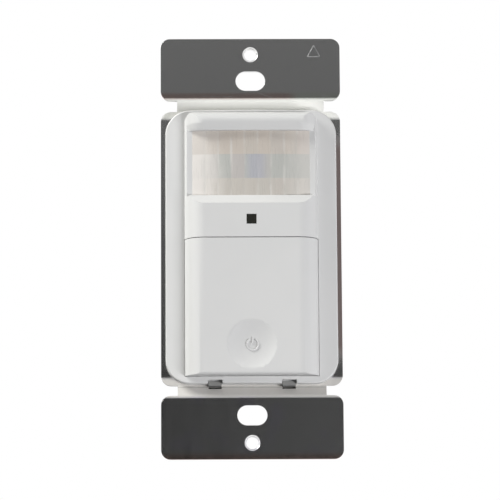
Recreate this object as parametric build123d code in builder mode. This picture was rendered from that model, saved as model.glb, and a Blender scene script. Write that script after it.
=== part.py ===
from build123d import *

import os
from math import atan2, hypot, tan

# Motion sensor wall switch. Lengths are in millimetres.
# X is to the right, Y goes into the wall and Z is up.
# The origin lies midway between the screw holes, on the wall's own plane,
# where the two ears of the strap rest.

# Shared clearances
overrun = 1.0
seat_gap = 0.1
slide_gap = 0.15
running_gap = 0.05

# Strap
strap_width = 44.5
strap_height = 104.8
strap_thickness = 1.2
ear_corner = 2.3
neck_inset = 4.05
flange_gap = 2.6
flange_corner = 2.5
step_depth = 1.5
step_run = 2.6
bend_radius = 0.5
plate_screw_margin = 3.98
wall_screw_pitch = 6.75
wall_slot_margin = 4.87
wall_slot_length = 7.35
wall_slot_width = 4.9
plate_screw_bore = 3.0
plate_collar_diameter = 4.3
plate_collar_height = 0.9
plate_screw_mouth = 0.5
window_web = 5.25
window_head = 3.7
window_corner = 2.0

# Hooks of the strap that hold the lower edge of the frame
hook_spacing = 18.1
hook_width = 3.2
hook_thickness = 0.5
hook_lap = 0.7
hook_ledge = 1.65
hook_hole_height = 0.45

# Frame
frame_side_inset = 1.15
frame_end_inset = 0.2
frame_corner = 6.0
frame_wall = 1.4
rim_edge_height = 2.3
rim_crown = 1.43
rim_edge_round = 0.4

# Raised body that the frame and the button share
body_side_inset = 4.7
body_top_inset = 1.0
body_bottom_inset = 1.8
body_corner = 2.5
side_roll = 4.9
top_roll = 2.2
bottom_roll = 1.0
face_height = 7.2
body_wall = 1.4

# Lens window and panel
bezel_height = 4.7
bezel_crest = 0.7
bezel_slope = 0.65
lens_height = 16.1
lens_side_inset = 2.0
panel_height = 10.6
lens_land_depth = 2.5
lens_land_margin = 0.4
land_wall = 1.2
panel_slope_height = 2.2
panel_slope_depth = 1.7
panel_corner = 1.4

# Lens
lens_recess = 1.7
lens_crown = 0.8
lens_gap = 0.06
lens_wall = 0.8
lens_lip = 0.3
lens_groove_width = 0.25
lens_groove_depth = 0.2
lens_column_width = 3.25
lens_columns = 9
lens_row_share = 0.36

# Light window
light_window_size = 2.35
light_window_rise = 4.4
light_collar_size = 4.0
light_collar_thickness = 0.8
light_foot_width = 6.6
light_foot_height = 3.2
light_foot_thickness = 1.0

# Push button
button_gap = 0.2
button_side_gap = 0.06
button_foot_gap = 0.1
button_skirt = 5.0
dimple_radius = 6.3
dimple_depth = 1.2
dimple_rise = 7.4
dimple_backing_margin = 1.0
press_post_radius = 0.8
press_post_root_radius = 1.6
press_post_gap = 0.03
hinge_drop = 3.6
hinge_height = 2.9
hinge_arm_inset = 6.8
hinge_arm_thickness = 1.4
hinge_pin_radius = 0.95
hinge_pin_length = 2.0
hinge_hub_radius = 1.5
catch_rise = 4.7
catch_side_inset = 6.7
catch_width = 3.0
catch_thickness = 1.0
catch_barb = 0.7
catch_barb_height = 1.2

# Chassis
chassis_side_inset = 1.9
chassis_lap = 0.7
chassis_corner = 3.0
chassis_plate = 1.2
chassis_skirt = 4.7
chassis_wall = 1.2
boss_radius = 2.1
boss_side_inset = 2.3
boss_end_inset = 2.2
screw_pilot_radius = 1.25
lug_thickness = 1.8
lug_gap = 0.3

# Sensor board and what it carries
board_thickness = 1.6
sensor_board_side_gap = 0.3
sensor_board_end_gap = 0.4
can_radius = 4.1
can_height = 4.2
can_flange_radius = 4.6
can_flange_height = 0.8
filter_width = 4.0
filter_height = 3.0
filter_thickness = 0.4
shroud_side_inset = 1.1
shroud_end_inset = 0.35
shroud_opening_gap = 0.28
shroud_rear_width = 12.6
shroud_rear_height = 12.0
shroud_wall = 0.9
led_width = 2.8
led_height = 3.2
led_depth = 1.9
led_offset = 1.8
photocell_radius = 1.4
photocell_depth = 3.2
tact_size = 6.2
tact_depth = 3.4
tact_bore_depth = 2.6
plunger_radius = 1.7
plunger_reach = 1.6
plunger_grip = 1.6
trimmer_size = 6.4
trimmer_depth = 2.8
trimmer_spacing = 8.0
trimmer_bore_depth = 1.4
dial_radius = 2.2
dial_reach = 2.7
dial_slot_width = 0.8
dial_slot_depth = 0.9
dial_access_gap = 0.5

# Rear housing
housing_side_inset = 0.75
housing_end_inset = 1.0
housing_depth = 27.0
housing_corner = 8.0
housing_wall = 1.6
housing_floor = 1.8
housing_edge_round = 1.7
sill_width = 26.0
sill_depth = 2.0
sill_margin = 0.4
tube_radius = 3.3
screw_radius = 1.4
screw_hole_radius = 1.5
screw_head_radius = 2.4
screw_head_height = 1.7
screw_head_hole_radius = 2.65
screw_head_hole_depth = 2.6
screw_tip_share = 0.9
frame_leg_spacing = 18.0
frame_leg_width = 3.6
frame_leg_thickness = 1.0
frame_leg_barb = 0.6
frame_leg_barb_height = 1.1
frame_leg_slot_gap = 0.2

# Side pockets and their terminals
pocket_height = 10.5
pocket_start = 6.9
pocket_board_gap = 2.4
pocket_inset = 6.2
pocket_wall = 1.2
upper_pocket_gap = 8.0
pocket_pitch = 13.0
terminal_width = 8.0
terminal_thickness = 1.0
terminal_start = 1.5
terminal_screw_radius = 1.7
terminal_screw_length = 4.0
terminal_head_radius = 3.6
terminal_head_height = 2.0
terminal_screw_slot_width = 1.0
terminal_screw_slot_depth = 0.9
clamp_size = 8.2
clamp_thickness = 0.9
clamp_gap = 0.8

# Ground tab, its screw and its pocket
ground_pocket_gap = 9.0
ground_tab_width = 9.0
ground_tab_inset = 3.05
ground_tab_reach = 14.2
ground_tab_relief = 0.6
ground_screw_depth = 10.2
ground_screw_length = 2.9
ground_screw_radius = 1.9
ground_head_radius = 3.5
ground_head_height = 1.9
ground_pocket_height = 10.4
ground_pocket_end = 16.0
ground_step_depth = 6.3
ground_step_wall = 0.95

# Main board and what stands on it
main_board_side_inset = 4.5
main_board_end_inset = 8.5
standoff_height = 0.7
standoff_size = 4.0
standoff_spread_share = 0.75
relay_width_share = 0.553
relay_height_share = 0.408
relay_board_gap = 2.4
relay_round = 0.8
film_width_share = 0.284
film_height_share = 0.367
film_board_gap = 4.8
film_gap = 2.0
parts_margin = 3.5
electrolytic_radius = 4.0
electrolytic_board_gap = 6.8
electrolytic_groove = 0.4
disc_radius = 4.5
disc_thickness = 3.5
lead_radius = 0.4
lead_length = 2.4
lead_spacing = 5.0
small_parts_share = 0.284
upper_small_share = 0.133
lower_small_share = 0.378
fuse_radius = 1.8
fuse_length_share = 0.2
fuse_standoff = 0.6
bridge_width = 6.5
bridge_height = 5.0
bridge_depth = 3.3
header_width = 12.7
header_height = 2.5
header_depth = 2.5
header_pin_size = 0.64
header_pins = 5
header_margin = 1.0

# Levels along Y, worked out from the sizes above
strap_front = step_depth - strap_thickness
strap_rear = step_depth
face_level = strap_front - face_height
rim_edge_level = strap_front - rim_edge_height
plate_front = strap_front - chassis_plate
land_level = face_level + lens_land_depth
land_rear = land_level + land_wall
body_inner = face_level + body_wall
sensor_board_front = strap_front + chassis_skirt
sensor_board_rear = sensor_board_front + board_thickness
housing_rear = strap_rear + housing_depth
floor_level = housing_rear - housing_floor
main_board_rear = floor_level - standoff_height
main_board_front = main_board_rear - board_thickness
header_span = main_board_front - sensor_board_rear
hinge_depth = strap_front - hinge_height
skirt_rear = face_level + button_skirt
shroud_front = land_rear + lens_wall

# Widths along X
neck_width = strap_width - 2 * neck_inset
window_width = strap_width - 2 * window_web
frame_width = strap_width - 2 * frame_side_inset
body_width = frame_width - 2 * body_side_inset
lens_width = body_width - 2 * lens_side_inset
shroud_front_width = lens_width - 2 * shroud_side_inset
chassis_width = frame_width - 2 * chassis_side_inset
hinge_arm_spacing = body_width - 2 * hinge_arm_inset
boss_spacing_x = window_width - 2 * boss_side_inset
catch_spacing = boss_spacing_x - 2 * catch_side_inset
sensor_board_width = window_width - 2 * sensor_board_side_gap
housing_width = strap_width - 2 * housing_side_inset
main_board_width = housing_width - 2 * main_board_side_inset

# Heights along Z, of whole pieces and then from the middle
plate_screw_spacing = strap_height - 2 * plate_screw_margin
wall_screw_spacing = plate_screw_spacing - 2 * wall_screw_pitch
ear_height = plate_screw_margin + wall_screw_pitch + wall_slot_margin
ear_inner = strap_height / 2 - ear_height
step_end = ear_inner - step_run
flange_height = 2 * (ear_inner - flange_gap)
frame_height = flange_height - 2 * frame_end_inset
window_height = flange_height - 2 * window_head
chassis_height = window_height + 2 * chassis_lap
sensor_board_height = window_height - 2 * sensor_board_end_gap
boss_spacing_z = window_height - 2 * boss_end_inset
housing_height = frame_height - 2 * housing_end_inset
main_board_height = housing_height - 2 * main_board_end_inset
body_top = frame_height / 2 - body_top_inset
body_bottom = frame_height / 2 - body_bottom_inset
crest_level = body_top - top_roll - bezel_crest
lens_top = body_top - bezel_height
lens_bottom = lens_top - lens_height
lens_level = (lens_top + lens_bottom) / 2
seam_level = lens_bottom - panel_height
button_top = seam_level - button_gap
opening_bottom = body_bottom + button_foot_gap
shroud_front_height = lens_height - 2 * shroud_end_inset
light_window_level = seam_level + light_window_rise
dimple_level = body_bottom - dimple_rise
hinge_level = hinge_drop - button_top
catch_level = body_bottom - catch_rise
trimmer_level = (dimple_level - light_window_level) / 2
upper_pocket_level = boss_spacing_z / 2 - tube_radius - upper_pocket_gap
lower_pocket_level = upper_pocket_level - pocket_pitch
ground_level = boss_spacing_z / 2 - tube_radius - ground_pocket_gap
boss_places = [
    (sx * boss_spacing_x / 2, sz * boss_spacing_z / 2) for sx in (-1, 1) for sz in (-1, 1)
]
hook_base = frame_height / 2 + seat_gap
sill_level = hook_base + hook_thickness + hook_hole_height + sill_margin


# A plane across the switch at a depth into the wall. An extrusion of a negative amount goes rearwards.
def across(depth):
    return Plane.XZ.offset(-depth)


# The raised body's form between two heights: flat face, rolled sides, rolled ends, rounded corners
def body_block(inset, low, high, low_roll, high_roll, corner, rear):
    half = body_width / 2 - inset
    front = face_level + inset
    with BuildPart() as block:
        with BuildSketch(Plane.XY.offset(low)) as plan:
            with Locations((0, front)):
                Rectangle(2 * half, rear - front, align=(Align.CENTER, Align.MIN))
            fillet(plan.vertices().group_by(Axis.Y)[0], side_roll - inset)
        extrude(amount=high - low)
        with BuildSketch(Plane.YZ) as side_view:
            with Locations((front, low)):
                Rectangle(rear - front, high - low, align=(Align.MIN, Align.MIN))
            front_corners = side_view.vertices().group_by(Axis.X)[0].sort_by(Axis.Y)
            if high_roll > 0:
                fillet(front_corners[-1], high_roll)
            if low_roll > 0:
                fillet(front_corners[0], low_roll)
        extrude(amount=half, both=True, mode=Mode.INTERSECT)
        with BuildSketch(across(front)) as front_view:
            with Locations((0, low)):
                Rectangle(2 * half, high - low, align=(Align.CENTER, Align.MIN))
            if corner > 0:
                fillet(front_view.vertices().group_by(Axis.Y)[-1], corner)
        extrude(amount=front - rear, mode=Mode.INTERSECT)
    return block.part


# Strap: the side view gives the steps, the front view gives the outline
bend_angle = atan2(step_depth, step_run)
bend_shift = strap_thickness * tan(bend_angle / 2)
outer_bend = bend_radius + strap_thickness
tab_outer = strap_width / 2 - ground_tab_inset
tab_inner = tab_outer - strap_thickness
with BuildPart() as mounting_strap:
    with BuildSketch(Plane.YZ):
        with BuildLine():
            front_path = FilletPolyline(
                (-strap_thickness, strap_height / 2),
                (-strap_thickness, ear_inner),
                (strap_front, step_end),
                (strap_front, -step_end),
                (-strap_thickness, -ear_inner),
                (-strap_thickness, -strap_height / 2),
                radius=[outer_bend, bend_radius, bend_radius, outer_bend],
            )
            rear_path = FilletPolyline(
                (0, strap_height / 2),
                (0, ear_inner + bend_shift),
                (strap_rear, step_end + bend_shift),
                (strap_rear, -step_end - bend_shift),
                (0, -ear_inner - bend_shift),
                (0, -strap_height / 2),
                radius=[bend_radius, outer_bend, outer_bend, bend_radius],
            )
            Line(front_path @ 0, rear_path @ 0)
            Line(front_path @ 1, rear_path @ 1)
        make_face()
    extrude(amount=strap_width / 2, both=True)
    with BuildSketch(across(0)):
        with GridLocations(0, strap_height - ear_height, 1, 2):
            RectangleRounded(strap_width, ear_height, ear_corner)
        Rectangle(neck_width, strap_height - ear_height)
        RectangleRounded(strap_width, flange_height, flange_corner)
        RectangleRounded(window_width, window_height, window_corner, mode=Mode.SUBTRACT)
        with GridLocations(0, wall_screw_spacing, 1, 2):
            SlotOverall(wall_slot_length, wall_slot_width, mode=Mode.SUBTRACT)
        with GridLocations(frame_leg_spacing, 0, 2, 1):
            with Locations((0, body_top - frame_leg_thickness)):
                Rectangle(
                    frame_leg_width + 2 * frame_leg_slot_gap,
                    frame_leg_thickness + 2 * frame_leg_slot_gap,
                    mode=Mode.SUBTRACT,
                )
    extrude(amount=strap_thickness + overrun, both=True, mode=Mode.INTERSECT)
    with BuildSketch(across(0)):
        with GridLocations(0, plate_screw_spacing, 1, 2):
            Circle(plate_collar_diameter / 2)
    extrude(amount=-plate_collar_height)
    with BuildSketch(across(0)):
        with GridLocations(0, plate_screw_spacing, 1, 2):
            Circle(plate_screw_bore / 2)
    extrude(amount=strap_thickness + overrun, both=True, mode=Mode.SUBTRACT)
    mouths = mounting_strap.edges().filter_by(GeomType.CIRCLE).group_by(Axis.Y)[0]
    fillet(
        mouths.filter_by(lambda e: abs(e.radius - plate_screw_bore / 2) < running_gap),
        plate_screw_mouth,
    )
    # Two hooks stand out of the lower step, over the holes that they were cut from
    with BuildSketch(across(strap_front - hook_ledge - hook_thickness)):
        with GridLocations(hook_spacing, 0, 2, 1):
            with Locations((0, -hook_base)):
                Rectangle(hook_width, hook_thickness, align=(Align.CENTER, Align.MAX))
    extrude(amount=-(hook_ledge + hook_thickness + strap_thickness / 2))
    with BuildSketch(across(strap_front - hook_ledge - hook_thickness)):
        with GridLocations(hook_spacing, 0, 2, 1):
            with Locations((0, hook_lap - hook_base)):
                Rectangle(
                    hook_width, hook_lap + hook_thickness, align=(Align.CENTER, Align.MAX)
                )
    extrude(amount=-hook_thickness)
    with BuildSketch(across(0)):
        with GridLocations(hook_spacing, 0, 2, 1):
            with Locations((0, -hook_base - hook_thickness)):
                Rectangle(hook_width, hook_hole_height, align=(Align.CENTER, Align.MAX))
    extrude(amount=strap_thickness + step_depth, both=True, mode=Mode.SUBTRACT)
    # Ground tab, bent rearwards out of the window's left edge
    with BuildSketch(across(strap_front - overrun)):
        with Locations((-window_width / 2 + overrun, -ground_level)):
            Rectangle(
                tab_inner - window_width / 2 + overrun,
                ground_tab_width + 2 * ground_tab_relief,
                align=(Align.MAX, Align.CENTER),
            )
        with GridLocations(0, ground_tab_width + ground_tab_relief, 1, 2):
            with Locations((-tab_inner, -ground_level)):
                Rectangle(strap_thickness, ground_tab_relief, align=(Align.MAX, Align.CENTER))
    extrude(amount=-(strap_thickness + 2 * overrun), mode=Mode.SUBTRACT)
    with BuildSketch(across(strap_front)):
        with Locations((-tab_inner, -ground_level)):
            Rectangle(strap_thickness, ground_tab_width, align=(Align.MAX, Align.CENTER))
    extrude(amount=-(ground_tab_reach - strap_front))
    with BuildSketch(Plane.YZ.offset(-tab_inner + overrun)):
        with Locations((ground_screw_depth, -ground_level)):
            Circle(ground_screw_radius + running_gap)
    extrude(amount=-(strap_thickness + 2 * overrun), mode=Mode.SUBTRACT)

# Front frame: rim, top bezel, lens window and panel in one moulding
rim_ceiling = plate_front - seat_gap
rim_middle_level = rim_edge_level - rim_crown
leg_level = body_top - frame_leg_thickness
with BuildPart() as front_frame:
    with BuildSketch(Plane.XY):
        with BuildLine():
            crown = ThreePointArc(
                (-frame_width / 2, rim_edge_level),
                (0, rim_middle_level),
                (frame_width / 2, rim_edge_level),
            )
            Polyline(
                crown @ 0,
                (-frame_width / 2, strap_front),
                (frame_width / 2, strap_front),
                crown @ 1,
            )
        make_face()
    extrude(amount=frame_height / 2, both=True)
    with BuildSketch(across(strap_front)):
        RectangleRounded(frame_width, frame_height, frame_corner)
    extrude(amount=face_height, mode=Mode.INTERSECT)
    fillet(front_frame.faces().sort_by(Axis.Y)[0].outer_wire().edges(), rim_edge_round)
    add(body_block(0, seam_level, body_top, 0, top_roll, body_corner, rim_ceiling))
    # Land that carries the lens, between the bezel and the panel
    with BuildSketch(across(face_level - overrun)):
        with Locations((0, lens_bottom - panel_slope_height)):
            Rectangle(
                body_width - 2 * lens_land_margin,
                crest_level - lens_bottom + panel_slope_height,
                align=(Align.CENTER, Align.MIN),
            )
    extrude(amount=-(lens_land_depth + overrun), mode=Mode.SUBTRACT)
    # Lower part of the bezel, which falls back from the crest to the lens
    with BuildSketch(Plane.XY.offset(crest_level)) as bezel_plan:
        with Locations((0, face_level)):
            Rectangle(body_width, rim_ceiling - face_level, align=(Align.CENTER, Align.MIN))
        fillet(bezel_plan.vertices().group_by(Axis.Y)[0], side_roll)
    extrude(
        amount=hypot(bezel_slope, crest_level - lens_top),
        dir=(0, bezel_slope, lens_top - crest_level),
    )
    add(body_block(0, seam_level, lens_bottom, 0, 0, panel_corner, rim_ceiling))
    # Slope of the panel's upper edge, down to the lens
    with BuildSketch(Plane.YZ):
        with BuildLine():
            Polyline(
                (face_level - overrun, lens_bottom - panel_slope_height),
                (face_level, lens_bottom - panel_slope_height),
                (face_level + panel_slope_depth, lens_bottom),
                (face_level - overrun, lens_bottom),
                close=True,
            )
        make_face()
    extrude(amount=body_width / 2, both=True, mode=Mode.SUBTRACT)
    # Hollow rear side
    with BuildSketch(across(strap_front)):
        RectangleRounded(
            frame_width - 2 * frame_wall, frame_height - 2 * frame_wall, frame_corner - frame_wall
        )
    extrude(amount=strap_front - rim_ceiling, mode=Mode.SUBTRACT)
    with BuildSketch(across(strap_front)):
        with Locations((0, seam_level + body_wall)):
            Rectangle(
                body_width - 2 * body_wall,
                body_top - seam_level - 2 * body_wall,
                align=(Align.CENTER, Align.MIN),
            )
    extrude(amount=strap_front - land_rear, mode=Mode.SUBTRACT)
    add(
        body_block(
            body_wall, seam_level + body_wall, lens_bottom - body_wall, 0, 0, 0, rim_ceiling
        ),
        mode=Mode.SUBTRACT,
    )
    # Openings for the lens, the light window and the button
    with BuildSketch(across(land_level - overrun)):
        with Locations((0, lens_level)):
            Rectangle(lens_width, lens_top - lens_bottom)
    extrude(amount=-(land_wall + 2 * overrun), mode=Mode.SUBTRACT)
    with BuildSketch(across(face_level - overrun)):
        with Locations((0, light_window_level)):
            Rectangle(light_window_size + 2 * running_gap, light_window_size + 2 * running_gap)
    extrude(amount=-(body_wall + 2 * overrun), mode=Mode.SUBTRACT)
    with BuildSketch(across(face_level)):
        with Locations((0, seam_level)):
            Rectangle(
                body_width + 2 * button_side_gap,
                seam_level + opening_bottom,
                align=(Align.CENTER, Align.MAX),
            )
    extrude(amount=-face_height, mode=Mode.SUBTRACT)
    # Notches for the strap's hooks, in front of the ledge that they hold
    with BuildSketch(across(face_level)):
        with GridLocations(hook_spacing, 0, 2, 1):
            with Locations((0, -frame_height / 2)):
                Rectangle(hook_width + 2 * button_gap, 2 * (hook_lap + button_gap))
    extrude(amount=-(face_height - hook_ledge + running_gap), mode=Mode.SUBTRACT)
    # Two snap legs at the top, through the slots in the strap
    with BuildSketch(across(rim_ceiling)):
        with GridLocations(frame_leg_spacing, 0, 2, 1):
            with Locations((0, leg_level)):
                Rectangle(frame_leg_width, frame_leg_thickness)
    extrude(amount=-(strap_rear + frame_leg_slot_gap / 2 + frame_leg_barb_height - rim_ceiling))
    with BuildSketch(across(strap_rear + frame_leg_slot_gap / 2)):
        with GridLocations(frame_leg_spacing, 0, 2, 1):
            with Locations((0, leg_level + frame_leg_thickness / 2)):
                Rectangle(frame_leg_width, frame_leg_barb, align=(Align.CENTER, Align.MIN))
    extrude(amount=-frame_leg_barb_height)

# Lens: thin crowned tray, a lip behind the land and grooves between its segments
lens_front = face_level + lens_recess
lens_half = lens_width / 2 - lens_gap
lens_low = lens_bottom + lens_gap
lens_high = lens_top - lens_gap


# A crowned form as deep as the lens, set back from its surface by an inset
def lens_form(inset, rear):
    half = lens_half - inset
    with BuildPart() as form:
        with BuildSketch(Plane.XY.offset(lens_low + inset)):
            with BuildLine():
                crown = ThreePointArc(
                    (-half, lens_front + lens_crown + inset),
                    (0, lens_front + inset),
                    (half, lens_front + lens_crown + inset),
                )
                Polyline(crown @ 0, (-half, rear), (half, rear), crown @ 1)
            make_face()
        extrude(amount=lens_high - lens_low - 2 * inset)
    return form.part


# The grid of shallow grooves between the segments, on the lens's inner face
def lens_grooves():
    with BuildPart() as grooves:
        add(lens_form(lens_wall - lens_groove_depth, land_rear))
        add(lens_form(lens_wall, land_rear + overrun), mode=Mode.SUBTRACT)
        with BuildSketch(across(lens_front)):
            with Locations((0, lens_level)):
                with GridLocations(lens_column_width, 0, lens_columns - 1, 1):
                    Rectangle(lens_groove_width, lens_high - lens_low - 2 * lens_wall)
                with GridLocations(0, lens_row_share * (lens_high - lens_low), 1, 2):
                    Rectangle((lens_columns - 2) * lens_column_width, lens_groove_width)
        extrude(amount=-(land_rear - lens_front), mode=Mode.INTERSECT)
    return grooves.part


with BuildPart() as motion_lens:
    add(lens_form(0, land_rear))
    with BuildSketch(across(land_rear)):
        with Locations((0, lens_level)):
            Rectangle(
                2 * (lens_half + lens_lip), lens_high - lens_low + 2 * (lens_gap + lens_lip)
            )
    extrude(amount=-lens_wall)
    add(lens_form(lens_wall, land_rear + lens_wall + overrun), mode=Mode.SUBTRACT)
    add(lens_grooves(), mode=Mode.SUBTRACT)

# Light window: a smoked plug in the panel that widens to a foot over the indicator and the photocell
foot_rear = sensor_board_front - photocell_depth - slide_gap
with BuildPart() as light_window:
    with BuildSketch(across(face_level)):
        with Locations((0, light_window_level)):
            Rectangle(light_window_size, light_window_size)
    extrude(amount=-(foot_rear - face_level))
    with BuildSketch(across(body_inner)):
        with Locations((0, light_window_level)):
            Rectangle(light_collar_size, light_collar_size)
    extrude(amount=-light_collar_thickness)
    with BuildSketch(across(foot_rear - light_foot_thickness)):
        with Locations((0, light_window_level)):
            Rectangle(light_foot_width, light_foot_height)
    extrude(amount=-light_foot_thickness)

# Push button: hollow, hinged near its top edge, with a dimple for the finger
dimple_sphere = (dimple_radius**2 + dimple_depth**2) / (2 * dimple_depth)
backing_level = body_inner + dimple_depth
arm_x = hinge_arm_spacing / 2
plunger_tip = sensor_board_front - tact_depth - plunger_reach
catch_lap_level = strap_front + running_gap
with BuildPart() as push_button:
    add(body_block(0, -body_bottom, button_top, bottom_roll, 0, 0, skirt_rear))
    add(
        body_block(
            body_wall,
            body_wall - body_bottom,
            button_top - body_wall,
            0,
            0,
            0,
            skirt_rear + overrun,
        ),
        mode=Mode.SUBTRACT,
    )
    # Backing disc and post behind the dimple
    with BuildSketch(across(body_inner)):
        with Locations((0, -dimple_level)):
            Circle(dimple_radius + dimple_backing_margin)
    extrude(amount=-dimple_depth)
    with BuildSketch(across(backing_level)):
        with Locations((0, -dimple_level)):
            Circle(press_post_root_radius)
    extrude(amount=-(plate_front - backing_level))
    with BuildSketch(across(plate_front)):
        with Locations((0, -dimple_level)):
            Circle(press_post_radius)
    extrude(amount=-(plunger_tip - press_post_gap - plate_front))
    with Locations((0, face_level + dimple_depth - dimple_sphere, -dimple_level)):
        Sphere(dimple_sphere, mode=Mode.SUBTRACT)
    # Hinge arms with their hubs and pins
    with BuildSketch(Plane.YZ.offset(arm_x - hinge_arm_thickness / 2)):
        with Locations((body_inner, -hinge_level)):
            Rectangle(
                hinge_depth - body_inner, 2 * hinge_hub_radius, align=(Align.MIN, Align.CENTER)
            )
        with Locations((hinge_depth, -hinge_level)):
            Circle(hinge_hub_radius)
    right_arm = extrude(amount=hinge_arm_thickness)
    mirror(right_arm, about=Plane.YZ)
    with BuildSketch(Plane.YZ.offset(arm_x)):
        with Locations((hinge_depth, -hinge_level)):
            Circle(hinge_pin_radius)
    right_pin = extrude(amount=hinge_arm_thickness / 2 + hinge_pin_length)
    mirror(right_pin, about=Plane.YZ)
    # Catches that hold the button in the chassis
    with BuildSketch(across(body_inner)):
        with GridLocations(catch_spacing, 0, 2, 1):
            with Locations((0, -catch_level)):
                Rectangle(catch_width, catch_thickness)
    extrude(amount=-(catch_lap_level + catch_barb_height - body_inner))
    with BuildSketch(across(catch_lap_level)):
        with GridLocations(catch_spacing, 0, 2, 1):
            with Locations((0, catch_thickness / 2 - catch_level)):
                Rectangle(catch_width, catch_barb, align=(Align.CENTER, Align.MIN))
    extrude(amount=-catch_barb_height)

# Chassis: plate on the strap, skirt through the strap's window, bosses and hinge lugs
skirt_width = window_width - 2 * slide_gap
skirt_height = window_height - 2 * slide_gap
lug_x = arm_x + hinge_arm_thickness / 2 + lug_gap
lug_radius = hinge_hub_radius - slide_gap
pin_hole_radius = hinge_pin_radius + running_gap
plate_share = (plate_front - shroud_front) / (sensor_board_front - shroud_front)
shroud_taper_x = plate_share * (shroud_front_width - shroud_rear_width)
shroud_taper_z = plate_share * (shroud_front_height - shroud_rear_height)
with BuildPart() as front_chassis:
    with BuildSketch(across(plate_front)):
        RectangleRounded(chassis_width, chassis_height, chassis_corner)
    extrude(amount=-chassis_plate)
    with BuildSketch(across(strap_front)):
        RectangleRounded(skirt_width, skirt_height, window_corner)
        RectangleRounded(
            skirt_width - 2 * chassis_wall,
            skirt_height - 2 * chassis_wall,
            window_corner - chassis_wall,
            mode=Mode.SUBTRACT,
        )
        with Locations(boss_places):
            Circle(boss_radius)
    extrude(amount=-chassis_skirt)
    # Openings for the shroud, the light window, the dials, the post and the catches
    with BuildSketch(across(plate_front - overrun)):
        with Locations((0, lens_level)):
            Rectangle(
                shroud_front_width - shroud_taper_x + 2 * shroud_opening_gap,
                shroud_front_height - shroud_taper_z + 2 * shroud_opening_gap,
            )
        with Locations((0, light_window_level)):
            Rectangle(light_foot_width + 2 * dial_access_gap, light_foot_height + 2 * dial_access_gap)
        with GridLocations(trimmer_spacing, 0, 3, 1):
            with Locations((0, -trimmer_level)):
                Circle(dial_radius + dial_access_gap)
        with Locations((0, -dimple_level)):
            Circle(press_post_root_radius + dial_access_gap)
        with GridLocations(catch_spacing, 0, 2, 1):
            with Locations((0, catch_barb - catch_level)):
                Rectangle(
                    catch_width + 2 * dial_access_gap,
                    2 * dial_access_gap + 2 * catch_barb,
                    align=(Align.CENTER, Align.MAX),
                )
    extrude(amount=-(chassis_plate + overrun), mode=Mode.SUBTRACT)
    with BuildSketch(across(strap_front)):
        with Locations(boss_places):
            Circle(screw_pilot_radius)
    extrude(amount=-chassis_skirt, mode=Mode.SUBTRACT)
    with BuildSketch(Plane.YZ.offset(lug_x)):
        with Locations((hinge_depth, -hinge_level)):
            Rectangle(
                strap_front - hinge_depth, 2 * lug_radius, align=(Align.MIN, Align.CENTER)
            )
            Circle(lug_radius)
            Circle(pin_hole_radius, mode=Mode.SUBTRACT)
    right_lug = extrude(amount=lug_thickness)
    mirror(right_lug, about=Plane.YZ)

# Sensor board
with BuildPart() as sensor_board:
    with BuildSketch(across(sensor_board_front)):
        RectangleRounded(sensor_board_width, sensor_board_height, window_corner)
        with Locations(boss_places):
            Circle(screw_hole_radius, mode=Mode.SUBTRACT)
    extrude(amount=-board_thickness)

# Heat sensor: can with its flange, and the dark filter in its face
can_front = sensor_board_front - can_height
with BuildPart() as pir_can:
    with BuildSketch(across(sensor_board_front)):
        with Locations((0, lens_level)):
            Circle(can_flange_radius)
    extrude(amount=can_flange_height)
    with BuildSketch(across(sensor_board_front)):
        with Locations((0, lens_level)):
            Circle(can_radius)
    extrude(amount=can_height)
    chamfer(pir_can.edges().filter_by(GeomType.CIRCLE).group_by(Axis.Y)[0], filter_thickness)
    with BuildSketch(across(can_front)):
        with Locations((0, lens_level)):
            Rectangle(filter_width, filter_height)
    extrude(amount=-filter_thickness, mode=Mode.SUBTRACT)

with BuildPart() as pir_filter:
    with BuildSketch(across(can_front)):
        with Locations((0, lens_level)):
            Rectangle(filter_width, filter_height)
    extrude(amount=-filter_thickness)

# Shroud: funnel from the lens to the board, around the can
shroud_inset = 2 * shroud_wall
with BuildPart() as sensor_shroud:
    with BuildSketch(across(shroud_front)):
        with Locations((0, lens_level)):
            Rectangle(shroud_front_width, shroud_front_height)
    with BuildSketch(across(sensor_board_front)):
        with Locations((0, lens_level)):
            Rectangle(shroud_rear_width, shroud_rear_height)
    loft(ruled=True)
    with BuildSketch(across(shroud_front)):
        with Locations((0, lens_level)):
            Rectangle(shroud_front_width - shroud_inset, shroud_front_height - shroud_inset)
    with BuildSketch(across(sensor_board_front)):
        with Locations((0, lens_level)):
            Rectangle(shroud_rear_width - shroud_inset, shroud_rear_height - shroud_inset)
    loft(ruled=True, mode=Mode.SUBTRACT)

# Indicator and photocell behind the light window
with BuildPart() as status_led:
    with BuildSketch(across(sensor_board_front)):
        with Locations((-led_offset, light_window_level)):
            Rectangle(led_width, led_height)
    extrude(amount=led_depth)

with BuildPart() as photocell:
    with BuildSketch(across(sensor_board_front)):
        with Locations((led_offset, light_window_level)):
            Circle(photocell_radius)
    extrude(amount=photocell_depth)
    chamfer(photocell.edges().group_by(Axis.Y)[0], photocell_radius / 2)

# Tact switch: body with a bore, and the plunger that the button presses
tact_front = sensor_board_front - tact_depth
with BuildPart() as tact_switch_body:
    with BuildSketch(across(sensor_board_front)):
        with Locations((0, -dimple_level)):
            Rectangle(tact_size, tact_size)
    extrude(amount=tact_depth)
    with BuildSketch(across(tact_front)):
        with Locations((0, -dimple_level)):
            Circle(plunger_radius + running_gap)
    extrude(amount=-tact_bore_depth, mode=Mode.SUBTRACT)

with BuildPart() as tact_switch_plunger:
    with BuildSketch(across(plunger_tip)):
        with Locations((0, -dimple_level)):
            Circle(plunger_radius)
    extrude(amount=-(plunger_reach + plunger_grip))

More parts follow.
